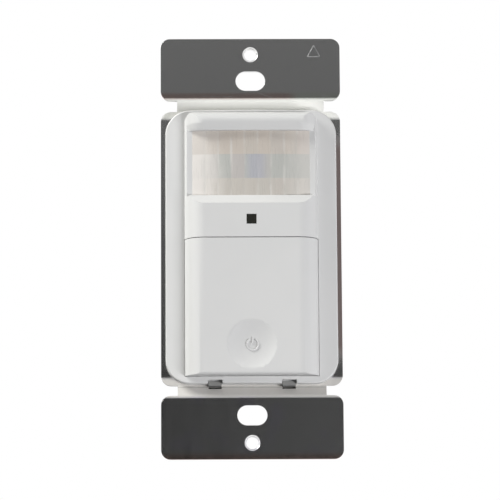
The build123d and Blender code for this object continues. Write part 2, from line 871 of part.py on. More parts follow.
# Trimmers: three bodies, each with a dial that turns in it
trimmer_front = sensor_board_front - trimmer_depth
with BuildPart() as trimmer_bodies:
    with BuildSketch(across(sensor_board_front)):
        with GridLocations(trimmer_spacing, 0, 3, 1):
            with Locations((0, -trimmer_level)):
                Rectangle(trimmer_size, trimmer_size)
    extrude(amount=trimmer_depth)
    with BuildSketch(across(trimmer_front)):
        with GridLocations(trimmer_spacing, 0, 3, 1):
            with Locations((0, -trimmer_level)):
                Circle(dial_radius + running_gap)
    extrude(amount=-trimmer_bore_depth, mode=Mode.SUBTRACT)


# A dial with a screwdriver slot that runs out at one side, as its pointer
def trimmer_dial(centre_x):
    with BuildPart() as dial:
        with BuildSketch(across(trimmer_front - dial_reach)):
            with Locations((centre_x, -trimmer_level)):
                Circle(dial_radius)
        extrude(amount=-(dial_reach + trimmer_bore_depth - running_gap))
        with BuildSketch(across(trimmer_front - dial_reach)):
            with Locations((centre_x, -trimmer_level - dial_radius / 2)):
                Rectangle(dial_slot_width, 2 * dial_radius, align=(Align.CENTER, Align.MIN))
        extrude(amount=-dial_slot_depth, mode=Mode.SUBTRACT)
    return dial.part


# Rear housing: box behind the strap with four screw tubes and open side pockets
inner_width = housing_width - 2 * housing_wall
inner_height = housing_height - 2 * housing_wall
pocket_floor = housing_width / 2 - pocket_inset
pocket_front = strap_rear + pocket_start
pocket_end = main_board_front - pocket_board_gap
pocket_depth = pocket_end - pocket_front
step_floor = tab_inner - seat_gap
clear_width = 2 * (pocket_floor - pocket_wall)
terminal_places = [(1, upper_pocket_level), (-1, upper_pocket_level), (1, lower_pocket_level)]
with BuildPart() as rear_housing:
    with BuildSketch(across(strap_rear)):
        RectangleRounded(housing_width, housing_height, housing_corner)
    extrude(amount=-housing_depth)
    fillet(rear_housing.faces().sort_by(Axis.Y)[-1].edges(), housing_edge_round)
    with BuildSketch(across(strap_rear)):
        RectangleRounded(inner_width, inner_height, housing_corner - housing_wall)
    extrude(amount=-(housing_depth - housing_floor), mode=Mode.SUBTRACT)
    # Sill that closes the holes of the strap's hooks from behind
    with BuildSketch(across(strap_rear)):
        with Locations((0, -sill_level)):
            Rectangle(
                sill_width,
                sill_level - housing_height / 2 + housing_wall / 2,
                align=(Align.CENTER, Align.MIN),
            )
    extrude(amount=-sill_depth)
    with BuildSketch(across(sensor_board_rear)):
        with Locations(boss_places):
            Circle(tube_radius)
    extrude(amount=-(floor_level - sensor_board_rear))
    with BuildSketch(across(floor_level)):
        with GridLocations(
            standoff_spread_share * main_board_width,
            standoff_spread_share * main_board_height,
            2,
            2,
        ):
            Rectangle(standoff_size, standoff_size)
    extrude(amount=standoff_height)
    # Terminal pockets: a block inwards from each side, then the pocket and the plate's slot
    for side, level in terminal_places:
        outward = (Align.MIN if side > 0 else Align.MAX, Align.CENTER)
        with BuildSketch(across(pocket_front - pocket_wall)):
            with Locations((side * (pocket_floor - pocket_wall), level)):
                Rectangle(
                    pocket_inset + pocket_wall - housing_wall / 2,
                    pocket_height + 2 * pocket_wall,
                    align=outward,
                )
        extrude(amount=-(pocket_depth + 2 * pocket_wall))
        with BuildSketch(across(pocket_front)):
            with Locations((side * pocket_floor, level)):
                Rectangle(pocket_inset + overrun, pocket_height, align=outward)
        extrude(amount=-pocket_depth, mode=Mode.SUBTRACT)
        with BuildSketch(across(pocket_end)):
            with Locations((side * pocket_floor, level)):
                Rectangle(
                    terminal_thickness + seat_gap, terminal_width + 2 * seat_gap, align=outward
                )
        extrude(amount=-pocket_wall, mode=Mode.SUBTRACT)
        with BuildSketch(Plane.YZ):
            with Locations((pocket_front + pocket_depth / 2, level)):
                Circle(terminal_screw_radius + seat_gap)
        extrude(amount=side * (pocket_floor + overrun), mode=Mode.SUBTRACT)
    # Ground pocket: narrow beside the board, deep behind it
    with BuildSketch(across(strap_rear)):
        with Locations((-step_floor + ground_step_wall, -ground_level)):
            Rectangle(
                housing_width / 2 - step_floor + ground_step_wall - housing_wall / 2,
                ground_pocket_height + 2 * pocket_wall,
                align=(Align.MAX, Align.CENTER),
            )
    extrude(amount=-(ground_pocket_end + pocket_wall - strap_rear))
    with BuildSketch(across(strap_rear + ground_step_depth - pocket_wall)):
        with Locations((-pocket_floor + pocket_wall, -ground_level)):
            Rectangle(
                pocket_inset + pocket_wall - housing_wall / 2,
                ground_pocket_height + 2 * pocket_wall,
                align=(Align.MAX, Align.CENTER),
            )
    extrude(amount=-(ground_pocket_end + 2 * pocket_wall - strap_rear - ground_step_depth))
    with BuildSketch(across(strap_rear)):
        with Locations((-step_floor, -ground_level)):
            Rectangle(
                housing_width / 2 - step_floor + overrun,
                ground_pocket_height,
                align=(Align.MAX, Align.CENTER),
            )
    extrude(amount=-(ground_pocket_end - strap_rear), mode=Mode.SUBTRACT)
    with BuildSketch(across(strap_rear + ground_step_depth)):
        with Locations((-pocket_floor, -ground_level)):
            Rectangle(
                pocket_inset + overrun, ground_pocket_height, align=(Align.MAX, Align.CENTER)
            )
    extrude(amount=-(ground_pocket_end - strap_rear - ground_step_depth), mode=Mode.SUBTRACT)
    # Room for the frame's legs
    with BuildSketch(across(strap_rear)):
        with GridLocations(frame_leg_spacing, 0, 2, 1):
            with Locations((0, leg_level)):
                Rectangle(
                    frame_leg_width + 2 * dial_access_gap,
                    frame_leg_thickness + 2 * frame_leg_barb + 2 * seat_gap,
                )
    extrude(amount=-(frame_leg_barb_height + dial_access_gap), mode=Mode.SUBTRACT)
    # Screw holes from the rear, with their sunk seats
    with BuildSketch(across(sensor_board_rear)):
        with Locations(boss_places):
            Circle(screw_hole_radius)
    extrude(amount=-(housing_rear - sensor_board_rear), mode=Mode.SUBTRACT)
    with BuildSketch(across(housing_rear)):
        with Locations(boss_places):
            Circle(screw_head_hole_radius)
    extrude(amount=screw_head_hole_depth, mode=Mode.SUBTRACT)

# Four long screws from the rear into the chassis
head_seat = housing_rear - screw_head_hole_depth
screw_tip = sensor_board_front - screw_tip_share * chassis_skirt
with BuildPart() as assembly_screws:
    with BuildSketch(across(head_seat)):
        with Locations(boss_places):
            Circle(screw_head_radius)
    extrude(amount=-screw_head_height)
    with BuildSketch(across(sensor_board_rear)):
        with Locations(boss_places):
            Circle(screw_radius)
    extrude(amount=-(head_seat - sensor_board_rear))
    with BuildSketch(across(screw_tip)):
        with Locations(boss_places):
            Circle(screw_pilot_radius - running_gap / 2)
    extrude(amount=-(sensor_board_rear - screw_tip))


# A brass plate on a pocket's floor that runs through to the main board
def terminal_plate(side, level):
    outward = (Align.MIN if side > 0 else Align.MAX, Align.CENTER)
    with BuildPart() as plate:
        with BuildSketch(across(pocket_front + terminal_start)):
            with Locations((side * pocket_floor, level)):
                Rectangle(terminal_thickness, terminal_width, align=outward)
        extrude(amount=-(main_board_front - pocket_front - terminal_start))
        with BuildSketch(Plane.YZ):
            with Locations((pocket_front + pocket_depth / 2, level)):
                Circle(terminal_screw_radius + running_gap)
        extrude(amount=side * housing_width, mode=Mode.SUBTRACT)
    return plate.part


# Terminal screws and clamps, one of each at every plate
screw_y = pocket_front + pocket_depth / 2
clamp_inner = pocket_floor + terminal_thickness + clamp_gap
head_inner = clamp_inner + clamp_thickness
with BuildPart() as terminal_screws:
    for side, level in terminal_places:
        with BuildSketch(Plane.YZ.offset(side * head_inner)):
            with Locations((screw_y, level)):
                Circle(terminal_head_radius)
        extrude(amount=side * terminal_head_height)
        with BuildSketch(Plane.YZ.offset(side * head_inner)):
            with Locations((screw_y, level)):
                Circle(terminal_screw_radius)
        extrude(amount=-side * terminal_screw_length)
        with BuildSketch(Plane.YZ.offset(side * (head_inner + terminal_head_height))):
            with Locations((screw_y, level)):
                Rectangle(terminal_screw_slot_width, 2 * terminal_head_radius)
        extrude(amount=-side * terminal_screw_slot_depth, mode=Mode.SUBTRACT)

with BuildPart() as wire_clamps:
    for side, level in terminal_places:
        with BuildSketch(Plane.YZ.offset(side * clamp_inner)):
            with Locations((screw_y, level)):
                Rectangle(clamp_size, clamp_size)
                Circle(terminal_screw_radius + seat_gap, mode=Mode.SUBTRACT)
        extrude(amount=side * clamp_thickness)

# Ground screw, through the strap's tab from the left
with BuildPart() as ground_screw:
    with BuildSketch(Plane.YZ.offset(-tab_outer)):
        with Locations((ground_screw_depth, -ground_level)):
            RegularPolygon(ground_head_radius, 6)
    extrude(amount=-ground_head_height)
    with BuildSketch(Plane.YZ.offset(-tab_outer)):
        with Locations((ground_screw_depth, -ground_level)):
            Circle(ground_screw_radius)
    extrude(amount=ground_screw_length)
    with BuildSketch(Plane.YZ.offset(-tab_outer - ground_head_height)):
        with Locations((ground_screw_depth, -ground_level)):
            Rectangle(terminal_screw_slot_width, 2 * ground_head_radius)
    extrude(amount=terminal_screw_slot_depth, mode=Mode.SUBTRACT)

# Main board
with BuildPart() as main_board:
    with BuildSketch(across(main_board_front)):
        Rectangle(main_board_width, main_board_height)
    extrude(amount=-board_thickness)

# Relay and film capacitor side by side in the upper half of the main board
relay_width = relay_width_share * clear_width
relay_height = relay_height_share * main_board_height
film_width = film_width_share * clear_width
film_height = film_height_share * main_board_height
parts_level = main_board_height / 2 - parts_margin - relay_height / 2
pair_width = relay_width + film_gap + film_width
relay_x = (relay_width - pair_width) / 2
film_x = (pair_width - film_width) / 2
with BuildPart() as relay:
    with BuildSketch(across(main_board_front)):
        with Locations((relay_x, parts_level)):
            Rectangle(relay_width, relay_height)
    extrude(amount=header_span - relay_board_gap)
    fillet(relay.edges().filter_by(Axis.Y), relay_round)

with BuildPart() as dropper_capacitor:
    with BuildSketch(across(main_board_front)):
        with Locations((film_x, parts_level)):
            Rectangle(film_width, film_height)
    extrude(amount=header_span - film_board_gap)
    fillet(dropper_capacitor.edges().filter_by(Axis.Y), relay_round)

# Places of the small parts in the lower half of the main board
small_parts_x = small_parts_share * clear_width
upper_small_level = upper_small_share * main_board_height
lower_small_level = lower_small_share * main_board_height

# Smoothing capacitor with the groove round its can
electrolytic_depth = header_span - electrolytic_board_gap
with BuildPart() as smoothing_capacitor:
    with BuildSketch(Plane.XY) as can_profile:
        Rectangle(electrolytic_radius, electrolytic_depth, align=(Align.MIN, Align.MIN))
        chamfer(can_profile.vertices().group_by(Axis.X)[-1], electrolytic_groove)
        with Locations((electrolytic_radius, 3 * electrolytic_groove)):
            Rectangle(
                electrolytic_groove, electrolytic_groove, rotation=45, mode=Mode.SUBTRACT
            )
    revolve(axis=Axis.Y)
smoothing_place = Pos(small_parts_x, main_board_front, -upper_small_level) * Rot(X=180)
smoothing_capacitor.part = smoothing_place * smoothing_capacitor.part

# Surge varistor: coated disc on two leads
disc_centre = main_board_front - lead_length - disc_radius
with BuildPart() as surge_varistor:
    with BuildSketch(Plane.XY.offset(-upper_small_level - disc_thickness / 2)):
        with Locations((-small_parts_x, disc_centre)):
            Circle(disc_radius)
    extrude(amount=disc_thickness)
    chamfer(surge_varistor.edges().filter_by(GeomType.CIRCLE), disc_thickness / 4)
    with BuildSketch(across(disc_centre)):
        with Locations((-small_parts_x, -upper_small_level)):
            with GridLocations(lead_spacing, 0, 2, 1):
                Circle(lead_radius)
    extrude(amount=-(main_board_front - disc_centre))

# Fuse resistor: lying body on two bent leads
fuse_length = fuse_length_share * clear_width
fuse_axis = main_board_front - fuse_standoff - fuse_radius
with BuildPart() as fuse_resistor:
    with BuildSketch(Plane.YZ.offset(-small_parts_x - fuse_length / 2)):
        with Locations((fuse_axis, -lower_small_level)):
            Circle(fuse_radius)
    extrude(amount=fuse_length)
    chamfer(fuse_resistor.edges().filter_by(GeomType.CIRCLE), fuse_radius / 3)
    with BuildSketch(Plane.YZ.offset(-small_parts_x - fuse_length / 2 - lead_length)):
        with Locations((fuse_axis, -lower_small_level)):
            Circle(lead_radius)
    extrude(amount=fuse_length + 2 * lead_length)
    with BuildSketch(across(fuse_axis)):
        with Locations((-small_parts_x, -lower_small_level)):
            with GridLocations(fuse_length + 2 * (lead_length - lead_radius), 0, 2, 1):
                Circle(lead_radius)
    extrude(amount=-(main_board_front - fuse_axis))

# Bridge rectifier
with BuildPart() as bridge_rectifier:
    with BuildSketch(across(main_board_front)):
        with Locations((small_parts_x, -lower_small_level)):
            Rectangle(bridge_width, bridge_height)
    extrude(amount=bridge_depth)

# Pin header between the two boards
header_level = (main_board_height - header_width) / 2 - header_margin
with BuildPart() as board_header:
    with BuildSketch(across(main_board_front)):
        with Locations((0, -header_level)):
            Rectangle(header_height, header_width)
    extrude(amount=header_depth)
    with BuildSketch(across(main_board_front)):
        with Locations((0, -header_level)):
            with GridLocations(0, header_width / header_pins, 1, header_pins):
                Rectangle(header_pin_size, header_pin_size)
    extrude(amount=header_span)

pieces = {
    "mounting_strap": mounting_strap.part,
    "front_frame": front_frame.part,
    "motion_lens": motion_lens.part,
    "light_window": light_window.part,
    "push_button": push_button.part,
    "front_chassis": front_chassis.part,
    "sensor_shroud": sensor_shroud.part,
    "pir_can": pir_can.part,
    "pir_filter": pir_filter.part,
    "sensor_board": sensor_board.part,
    "status_led": status_led.part,
    "photocell": photocell.part,
    "tact_switch_body": tact_switch_body.part,
    "tact_switch_plunger": tact_switch_plunger.part,
    "trimmer_bodies": trimmer_bodies.part,
    "time_dial": trimmer_dial(-trimmer_spacing),
    "sensitivity_dial": trimmer_dial(0),
    "light_level_dial": trimmer_dial(trimmer_spacing),
    "rear_housing": rear_housing.part,
    "assembly_screws": assembly_screws.part,
    "line_terminal": terminal_plate(*terminal_places[0]),
    "load_terminal": terminal_plate(*terminal_places[1]),
    "neutral_terminal": terminal_plate(*terminal_places[2]),
    "terminal_screws": terminal_screws.part,
    "wire_clamps": wire_clamps.part,
    "ground_screw": ground_screw.part,
    "main_board": main_board.part,
    "relay": relay.part,
    "dropper_capacitor": dropper_capacitor.part,
    "smoothing_capacitor": smoothing_capacitor.part,
    "surge_varistor": surge_varistor.part,
    "fuse_resistor": fuse_resistor.part,
    "bridge_rectifier": bridge_rectifier.part,
    "board_header": board_header.part,
}
os.makedirs("parts", exist_ok=True)
for name, piece in pieces.items():
    piece.label = name
    export_step(piece, f"parts/{name}.step")
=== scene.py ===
import math

import bmesh
import bpy
from mathutils import Matrix, Vector


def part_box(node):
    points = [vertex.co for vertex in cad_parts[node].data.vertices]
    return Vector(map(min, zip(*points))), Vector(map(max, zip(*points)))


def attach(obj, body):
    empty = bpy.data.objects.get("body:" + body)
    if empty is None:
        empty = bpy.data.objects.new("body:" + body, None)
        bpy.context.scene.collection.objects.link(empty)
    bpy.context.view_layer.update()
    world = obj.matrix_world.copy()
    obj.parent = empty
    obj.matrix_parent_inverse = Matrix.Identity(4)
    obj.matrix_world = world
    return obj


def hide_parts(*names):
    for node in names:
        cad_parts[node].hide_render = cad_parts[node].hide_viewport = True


# Wall switch with a motion sensor. Metres: X right, Y into the wall, Z up.
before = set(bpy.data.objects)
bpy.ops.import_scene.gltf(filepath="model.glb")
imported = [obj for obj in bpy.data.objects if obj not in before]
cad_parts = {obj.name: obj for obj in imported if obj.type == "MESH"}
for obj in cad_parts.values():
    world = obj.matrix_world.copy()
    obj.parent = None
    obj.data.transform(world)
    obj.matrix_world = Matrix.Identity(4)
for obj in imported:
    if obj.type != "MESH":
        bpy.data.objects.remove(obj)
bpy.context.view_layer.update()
mm = 0.001
print("frame loaded,", len(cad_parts), "nodes")


# Small helpers for node trees, materials and objects
def addNode(tree, kind, values=None, **settings):
    node = tree.nodes.new(kind)
    for name, value in settings.items():
        setattr(node, name, value)
    for socket, value in (values or {}).items():
        node.inputs[socket].default_value = value
    return node


def mathNode(tree, operation, first, second=None, third=None):
    node = addNode(tree, "ShaderNodeMath", operation=operation)
    for socket, value in zip(node.inputs, (first, second, third)):
        if value is None:
            continue
        if isinstance(value, (int, float)):
            socket.default_value = value
        else:
            tree.links.new(value, socket)
    return node.outputs[0]


def times(tree, first, second):
    return mathNode(tree, "MULTIPLY", first, second)


def minus(tree, first, second):
    return mathNode(tree, "SUBTRACT", first, second)


def larger(tree, first, second):
    return mathNode(tree, "MAXIMUM", first, second)


def parted(tree, vector):
    node = addNode(tree, "ShaderNodeSeparateXYZ")
    tree.links.new(vector, node.inputs[0])
    return node.outputs


def joined(tree, *values):
    node = addNode(tree, "ShaderNodeCombineXYZ")
    for value, socket in zip(values, node.inputs):
        if value is not None:
            tree.links.new(value, socket)
    return node.outputs[0]


def startMaterial(name, looks):
    material = bpy.data.materials.new(name)
    material.use_nodes = True
    tree = material.node_tree
    shader = tree.nodes["Principled BSDF"]
    shader.inputs["Metallic"].default_value = looks.get("metallic", 0.0)
    shader.inputs["Coat Weight"].default_value = looks.get("coat", 0.0)
    coordinates = addNode(tree, "ShaderNodeTexCoord").outputs["Object"]
    return material, tree, shader, coordinates


def noiseAt(tree, coordinates, size, detail=3.0, stretch=(1, 1, 1), shift=(0, 0, 0)):
    mapping = addNode(tree, "ShaderNodeMapping", {"Location": shift, "Scale": stretch})
    noise = addNode(tree, "ShaderNodeTexNoise", {"Scale": 1 / size, "Detail": detail})
    tree.links.new(coordinates, mapping.inputs["Vector"])
    tree.links.new(mapping.outputs[0], noise.inputs["Vector"])
    return noise.outputs["Fac"]


def spread(tree, value, fromLow, fromHigh, low, high, smooth=False):
    node = addNode(tree, "ShaderNodeMapRange", {1: fromLow, 2: fromHigh, 3: low, 4: high})
    if smooth:
        node.interpolation_type = "SMOOTHSTEP"
    tree.links.new(value, node.inputs[0])
    return node.outputs[0]


# Spread between two places given in millimetres from a start
def fade(tree, value, limits, low=0, high=1, smooth=False, start=0.0):
    return spread(tree, value, start + limits[0] * mm, start + limits[1] * mm, low, high, smooth)


def mixColours(tree, share, first, second):
    node = addNode(tree, "ShaderNodeMix", data_type="RGBA")
    for socket, value in ((node.inputs[0], share), (node.inputs[6], first), (node.inputs[7], second)):
        if isinstance(value, bpy.types.NodeSocket):
            tree.links.new(value, socket)
        else:
            socket.default_value = value if isinstance(value, (int, float)) else (*value[:3], 1)
    return node.outputs[2]


def bumpFrom(tree, shader, height, depth, strength=0.5):
    bump = addNode(tree, "ShaderNodeBump", {"Strength": strength, "Distance": depth})
    tree.links.new(height, bump.inputs["Height"])
    tree.links.new(bump.outputs["Normal"], shader.inputs["Normal"])


def inScene(name, data):
    thing = bpy.data.objects.new(name, data)
    bpy.context.scene.collection.objects.link(thing)
    return thing


def inMetres(looks):
    return {key: value * mm if isinstance(value, float) else value for key, value in looks.items()}


# A moulded, painted or plated finish: two tones in soft patches, uneven gloss and a fine grain
def grainFinish(name, looks):
    material, tree, shader, coordinates = startMaterial(name, looks)
    patches = noiseAt(tree, coordinates, looks["patch"] * mm)
    share = spread(tree, patches, 0.35, 0.65, 0, 1, smooth=True)
    tree.links.new(mixColours(tree, share, looks["colour"], looks["second"]), shader.inputs["Base Color"])
    gloss = noiseAt(tree, coordinates, looks["patch"] * 0.35 * mm, shift=(3, 1, 2))
    tree.links.new(spread(tree, gloss, 0.3, 0.7, *looks["rough"]), shader.inputs["Roughness"])
    stretch = looks.get("stretch", (1, 1, 1))
    grain = noiseAt(tree, coordinates, looks["grain"] * mm, detail=2.0, stretch=stretch)
    bumpFrom(tree, shader, grain, looks["depth"] * mm, looks.get("strength", 0.5))
    return material


def dress(node, material):
    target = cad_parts[node]
    for place in target.material_slots:
        place.link = "OBJECT"
        place.material = material


# A merged copy of a CAD node, with its moulded or stamped edges broken
def softCopy(node, name, body, material, edge=0.0, edgeAngle=40, smoothAngle=32):
    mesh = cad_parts[node].data.copy()
    mesh.name = name
    work = bmesh.new()
    work.from_mesh(mesh)
    bmesh.ops.remove_doubles(work, verts=work.verts, dist=0.0005 * mm)
    bmesh.ops.dissolve_limit(work, angle_limit=math.radians(0.4), verts=work.verts, edges=work.edges)
    work.to_mesh(mesh)
    work.free()
    mesh.materials.clear()
    mesh.materials.append(material)
    mesh.shade_smooth()
    mesh.set_sharp_from_angle(angle=math.radians(smoothAngle))
    piece = inScene(name, mesh)
    if edge:
        bevel = piece.modifiers.new("brokenEdges", "BEVEL")
        bevel.width = edge * mm
        bevel.segments = 2
        bevel.limit_method = "ANGLE"
        bevel.angle_limit = math.radians(edgeAngle)
        bevel.use_clamp_overlap = True
    normals = piece.modifiers.new("flatFacesFlat", "WEIGHTED_NORMAL")
    normals.mode = "FACE_AREA"
    normals.weight = 90
    normals.keep_sharp = True
    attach(piece, body)
    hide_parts(node)


# Zinc-plated steel of the strap: a rolled sheen, tinted streaks, small nicks and brown cut edges, with
# painted light and shade on the bent steps and painted shade on the right flange and the hooks
strapSteel = {
    "colour": (0.86, 0.86, 0.855), "dull": (0.74, 0.74, 0.74), "violet": (0.80, 0.78, 0.86),
    # Painted shade on the hooks: the near-black tone below paints the shadow under them, the dark hook tone
    # the shade on their faces
    "brown": (0.72, 0.55, 0.50), "hookUnderShadow": (0.10, 0.10, 0.10), "nick": (0.98, 0.98, 0.98),
    # The dark flange tone below is painted shade on the right flange
    "flange": (0.30, 0.245, 0.235), "green": (0.80, 0.84, 0.76), "hookFaceShade": (0.25, 0.25, 0.245),
    # The two step tones below are painted light and shade: the upper step paler as lit, the lower darker as
    # shaded
    "litUpperStep": (0.92, 0.92, 0.88), "shadedLowerStep": (0.63, 0.610, 0.580), "metallic": 1.0,
    "rough": (0.13, 0.22), "flangeRough": 0.30, "stepRough": 0.40, "stepMetal": 0.08,
    "streak": 1.1, "cloud": 9, "nickSize": 1.6, "depth": 0.004,
    # Zones, each from where it is none to where it is full
    "lowZone": (20, -30), "cutEdge": (-50.2, -52.2), "flangeSide": (20.6, 21.2), "flangeEnd": (31, 24),
    "footZone": (39.2, 38.0), "footEnd": (36.6, 37.2), "footTurn": (9, 12),
    "stepStart": (32, 33), "stepEnd": (37.5, 36.8), "hookFront": (0.1, -0.1),
    # Zones of the hooks, from the frame's lower edge
    "hookTip": (1.2, 0.9), "hookShadowBand": (-0.44, -0.52), "hookFoot": (-0.75, -0.68),
    "scratches": [
        ((2.0, 38.6), (5.4, 37.5), 0.10), ((17.9, 37.95), (18.6, 37.85), 0.22),
        ((21.1, 50.9), (21.4, 49.9), 0.12), ((21.5, 48.9), (21.6, 48.1), 0.14),
        ((1.9, -45.6), (2.9, -44.6), 0.12), ((-11.9, 37.9), (-4.4, 37.7), 0.06),
    ],
}


# Share of a straight scratch in the face: full on its line, none beyond its width
def scratchShare(tree, x, z, start, end, width):
    alongX, alongZ = (end[0] - start[0]) * mm, (end[1] - start[1]) * mm
    offX, offZ = minus(tree, x, start[0] * mm), minus(tree, z, start[1] * mm)
    squaredLength = alongX**2 + alongZ**2
    run = times(tree, offZ, alongZ / squaredLength)
    run = mathNode(tree, "MULTIPLY_ADD", offX, alongX / squaredLength, run)
    run = mathNode(tree, "MINIMUM", larger(tree, run, 0.0), 1.0)
    missX = mathNode(tree, "MULTIPLY_ADD", run, -alongX, offX)
    missZ = mathNode(tree, "MULTIPLY_ADD", run, -alongZ, offZ)
    squared = mathNode(tree, "MULTIPLY_ADD", missX, missX, times(tree, missZ, missZ))
    return fade(tree, mathNode(tree, "SQRT", squared), (width, 0.4 * width))


def strapFinish(looks):
    material, tree, shader, coordinates = startMaterial("zincSteel", looks)
    streaks = noiseAt(tree, coordinates, looks["streak"] * mm, detail=5.0, stretch=(1, 1, 0.12))
    cloud = noiseAt(tree, coordinates, looks["cloud"] * mm)
    x, y, z = parted(tree, coordinates)
    height = mathNode(tree, "ABSOLUTE", z)
    low = fade(tree, z, looks["lowZone"], smooth=True)
    streakShare = times(tree, spread(tree, streaks, 0.42, 0.68, 0, 1), spread(tree, low, 0, 1, 0.35, 1.0))
    base = mixColours(tree, streakShare, looks["colour"], looks["dull"])
    violetShare = times(tree, spread(tree, cloud, 0.5, 0.7, 0, 0.75, smooth=True), low)
    base = mixColours(tree, violetShare, base, looks["violet"])
    # Brown tint along the lowest cut edge; painted shade, dark and brownish, on the right flange
    edge = fade(tree, z, looks["cutEdge"], high=0.9, smooth=True)
    flangeSide = fade(tree, x, looks["flangeSide"], smooth=True)
    flange = times(tree, flangeSide, fade(tree, height, looks["flangeEnd"], smooth=True))
    base = mixColours(tree, edge, base, looks["brown"])
    base = mixColours(tree, flange, base, looks["flange"])
    # Lowest edge of the upper ear, brown on its left and greenish on its right
    earFoot = fade(tree, z, looks["footZone"], high=0.8, smooth=True)
    earFoot = times(tree, earFoot, fade(tree, z, looks["footEnd"]))
    footTone = mixColours(tree, fade(tree, x, looks["footTurn"]), looks["brown"], looks["green"])
    base = mixColours(tree, earFoot, base, footTone)
    for start, end, width in looks["scratches"]:
        scratch = scratchShare(tree, x, z, start, end, width)
        scratch = times(tree, scratch, spread(tree, streaks, 0.35, 0.55, 0.2, 1.0))
        base = mixColours(tree, scratch, base, looks["nick"])
    nickSize = looks["nickSize"] * mm
    nicks = noiseAt(tree, coordinates, nickSize, detail=8.0, stretch=(1, 1, 2.2), shift=(5, 2, 7))
    base = mixColours(tree, spread(tree, nicks, 0.74, 0.78, 0, 0.8), base, looks["nick"])
    # The bent steps are dulled and carry painted light and shade: the upper step painted paler as lit, the
    # lower one darker as shaded
    step = times(tree, fade(tree, height, looks["stepStart"]), fade(tree, height, looks["stepEnd"]))
    upward = mathNode(tree, "GREATER_THAN", z, 0.0)
    stepLightAndShade = mixColours(tree, upward, looks["shadedLowerStep"], looks["litUpperStep"])
    dulled = times(tree, step, spread(tree, streaks, 0.3, 0.7, 1.0, 0.85))
    base = mixColours(tree, dulled, base, stepLightAndShade)
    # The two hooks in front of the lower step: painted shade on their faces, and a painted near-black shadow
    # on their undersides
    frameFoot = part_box("front_frame")[0].z
    zones = [fade(tree, z, looks[zone], start=frameFoot) for zone in ("hookTip", "hookShadowBand", "hookFoot")]
    hookShadeMask = times(tree, fade(tree, y, looks["hookFront"]), times(tree, zones[0], zones[2]))
    base = mixColours(tree, hookShadeMask, base, looks["hookFaceShade"])
    base = mixColours(tree, times(tree, hookShadeMask, zones[1]), base, looks["hookUnderShadow"])
    tree.links.new(base, shader.inputs["Base Color"])
    metal = mathNode(tree, "MULTIPLY_ADD", step, looks["stepMetal"] - 1.0, 1.0)
    tree.links.new(metal, shader.inputs["Metallic"])
    rough = mathNode(tree, "MULTIPLY_ADD", streaks, looks["rough"][1] - looks["rough"][0], looks["rough"][0])
    rough = mathNode(tree, "MULTIPLY_ADD", flange, looks["flangeRough"], rough)
    rough = mathNode(tree, "MULTIPLY_ADD", step, looks["stepRough"], rough)
    tree.links.new(rough, shader.inputs["Roughness"])
    bumpFrom(tree, shader, streaks, looks["depth"] * mm, 0.25)
    return material


zincSteel = strapFinish(strapSteel)

# White mouldings: satin, almost even, with the faint flow marks of the mould
whiteFront = {
    "colour": (0.700, 0.700, 0.697), "second": (0.690, 0.692, 0.690), "patch": 14,
    "rough": (0.36, 0.44), "grain": 0.35, "depth": 0.004, "strength": 0.35,
}
satinWhite = grainFinish("satinWhite", whiteFront)

# Milky lens: an array of small segments whose tints differ, warm above, cool across the middle
lensTones = {
    "cream": (0.605, 0.548, 0.490), "pale": (0.830, 0.795, 0.760), "grey": (0.505, 0.510, 0.484),
    "blue": (0.455, 0.460, 0.512), "mauve": (0.578, 0.510, 0.500), "ridge": (0.715, 0.695, 0.665),
    "rough": (0.24, 0.36), "columns": 9, "rowHigh": 22.48, "rowLow": 16.47,
    "core": 1.2, "coreSize": (0.8, 3.4), "coreShare": 0.75, "soft": 2.6, "fine": 0.5, "depth": 0.01,
    "leftZone": (-3.5, -11), "leftShare": 0.92, "rightZone": (9, 16), "rightShare": 0.42,
    "ridgeWidth": 0.5, "ridgeShare": 0.75,
}
lensLow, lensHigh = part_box("motion_lens")


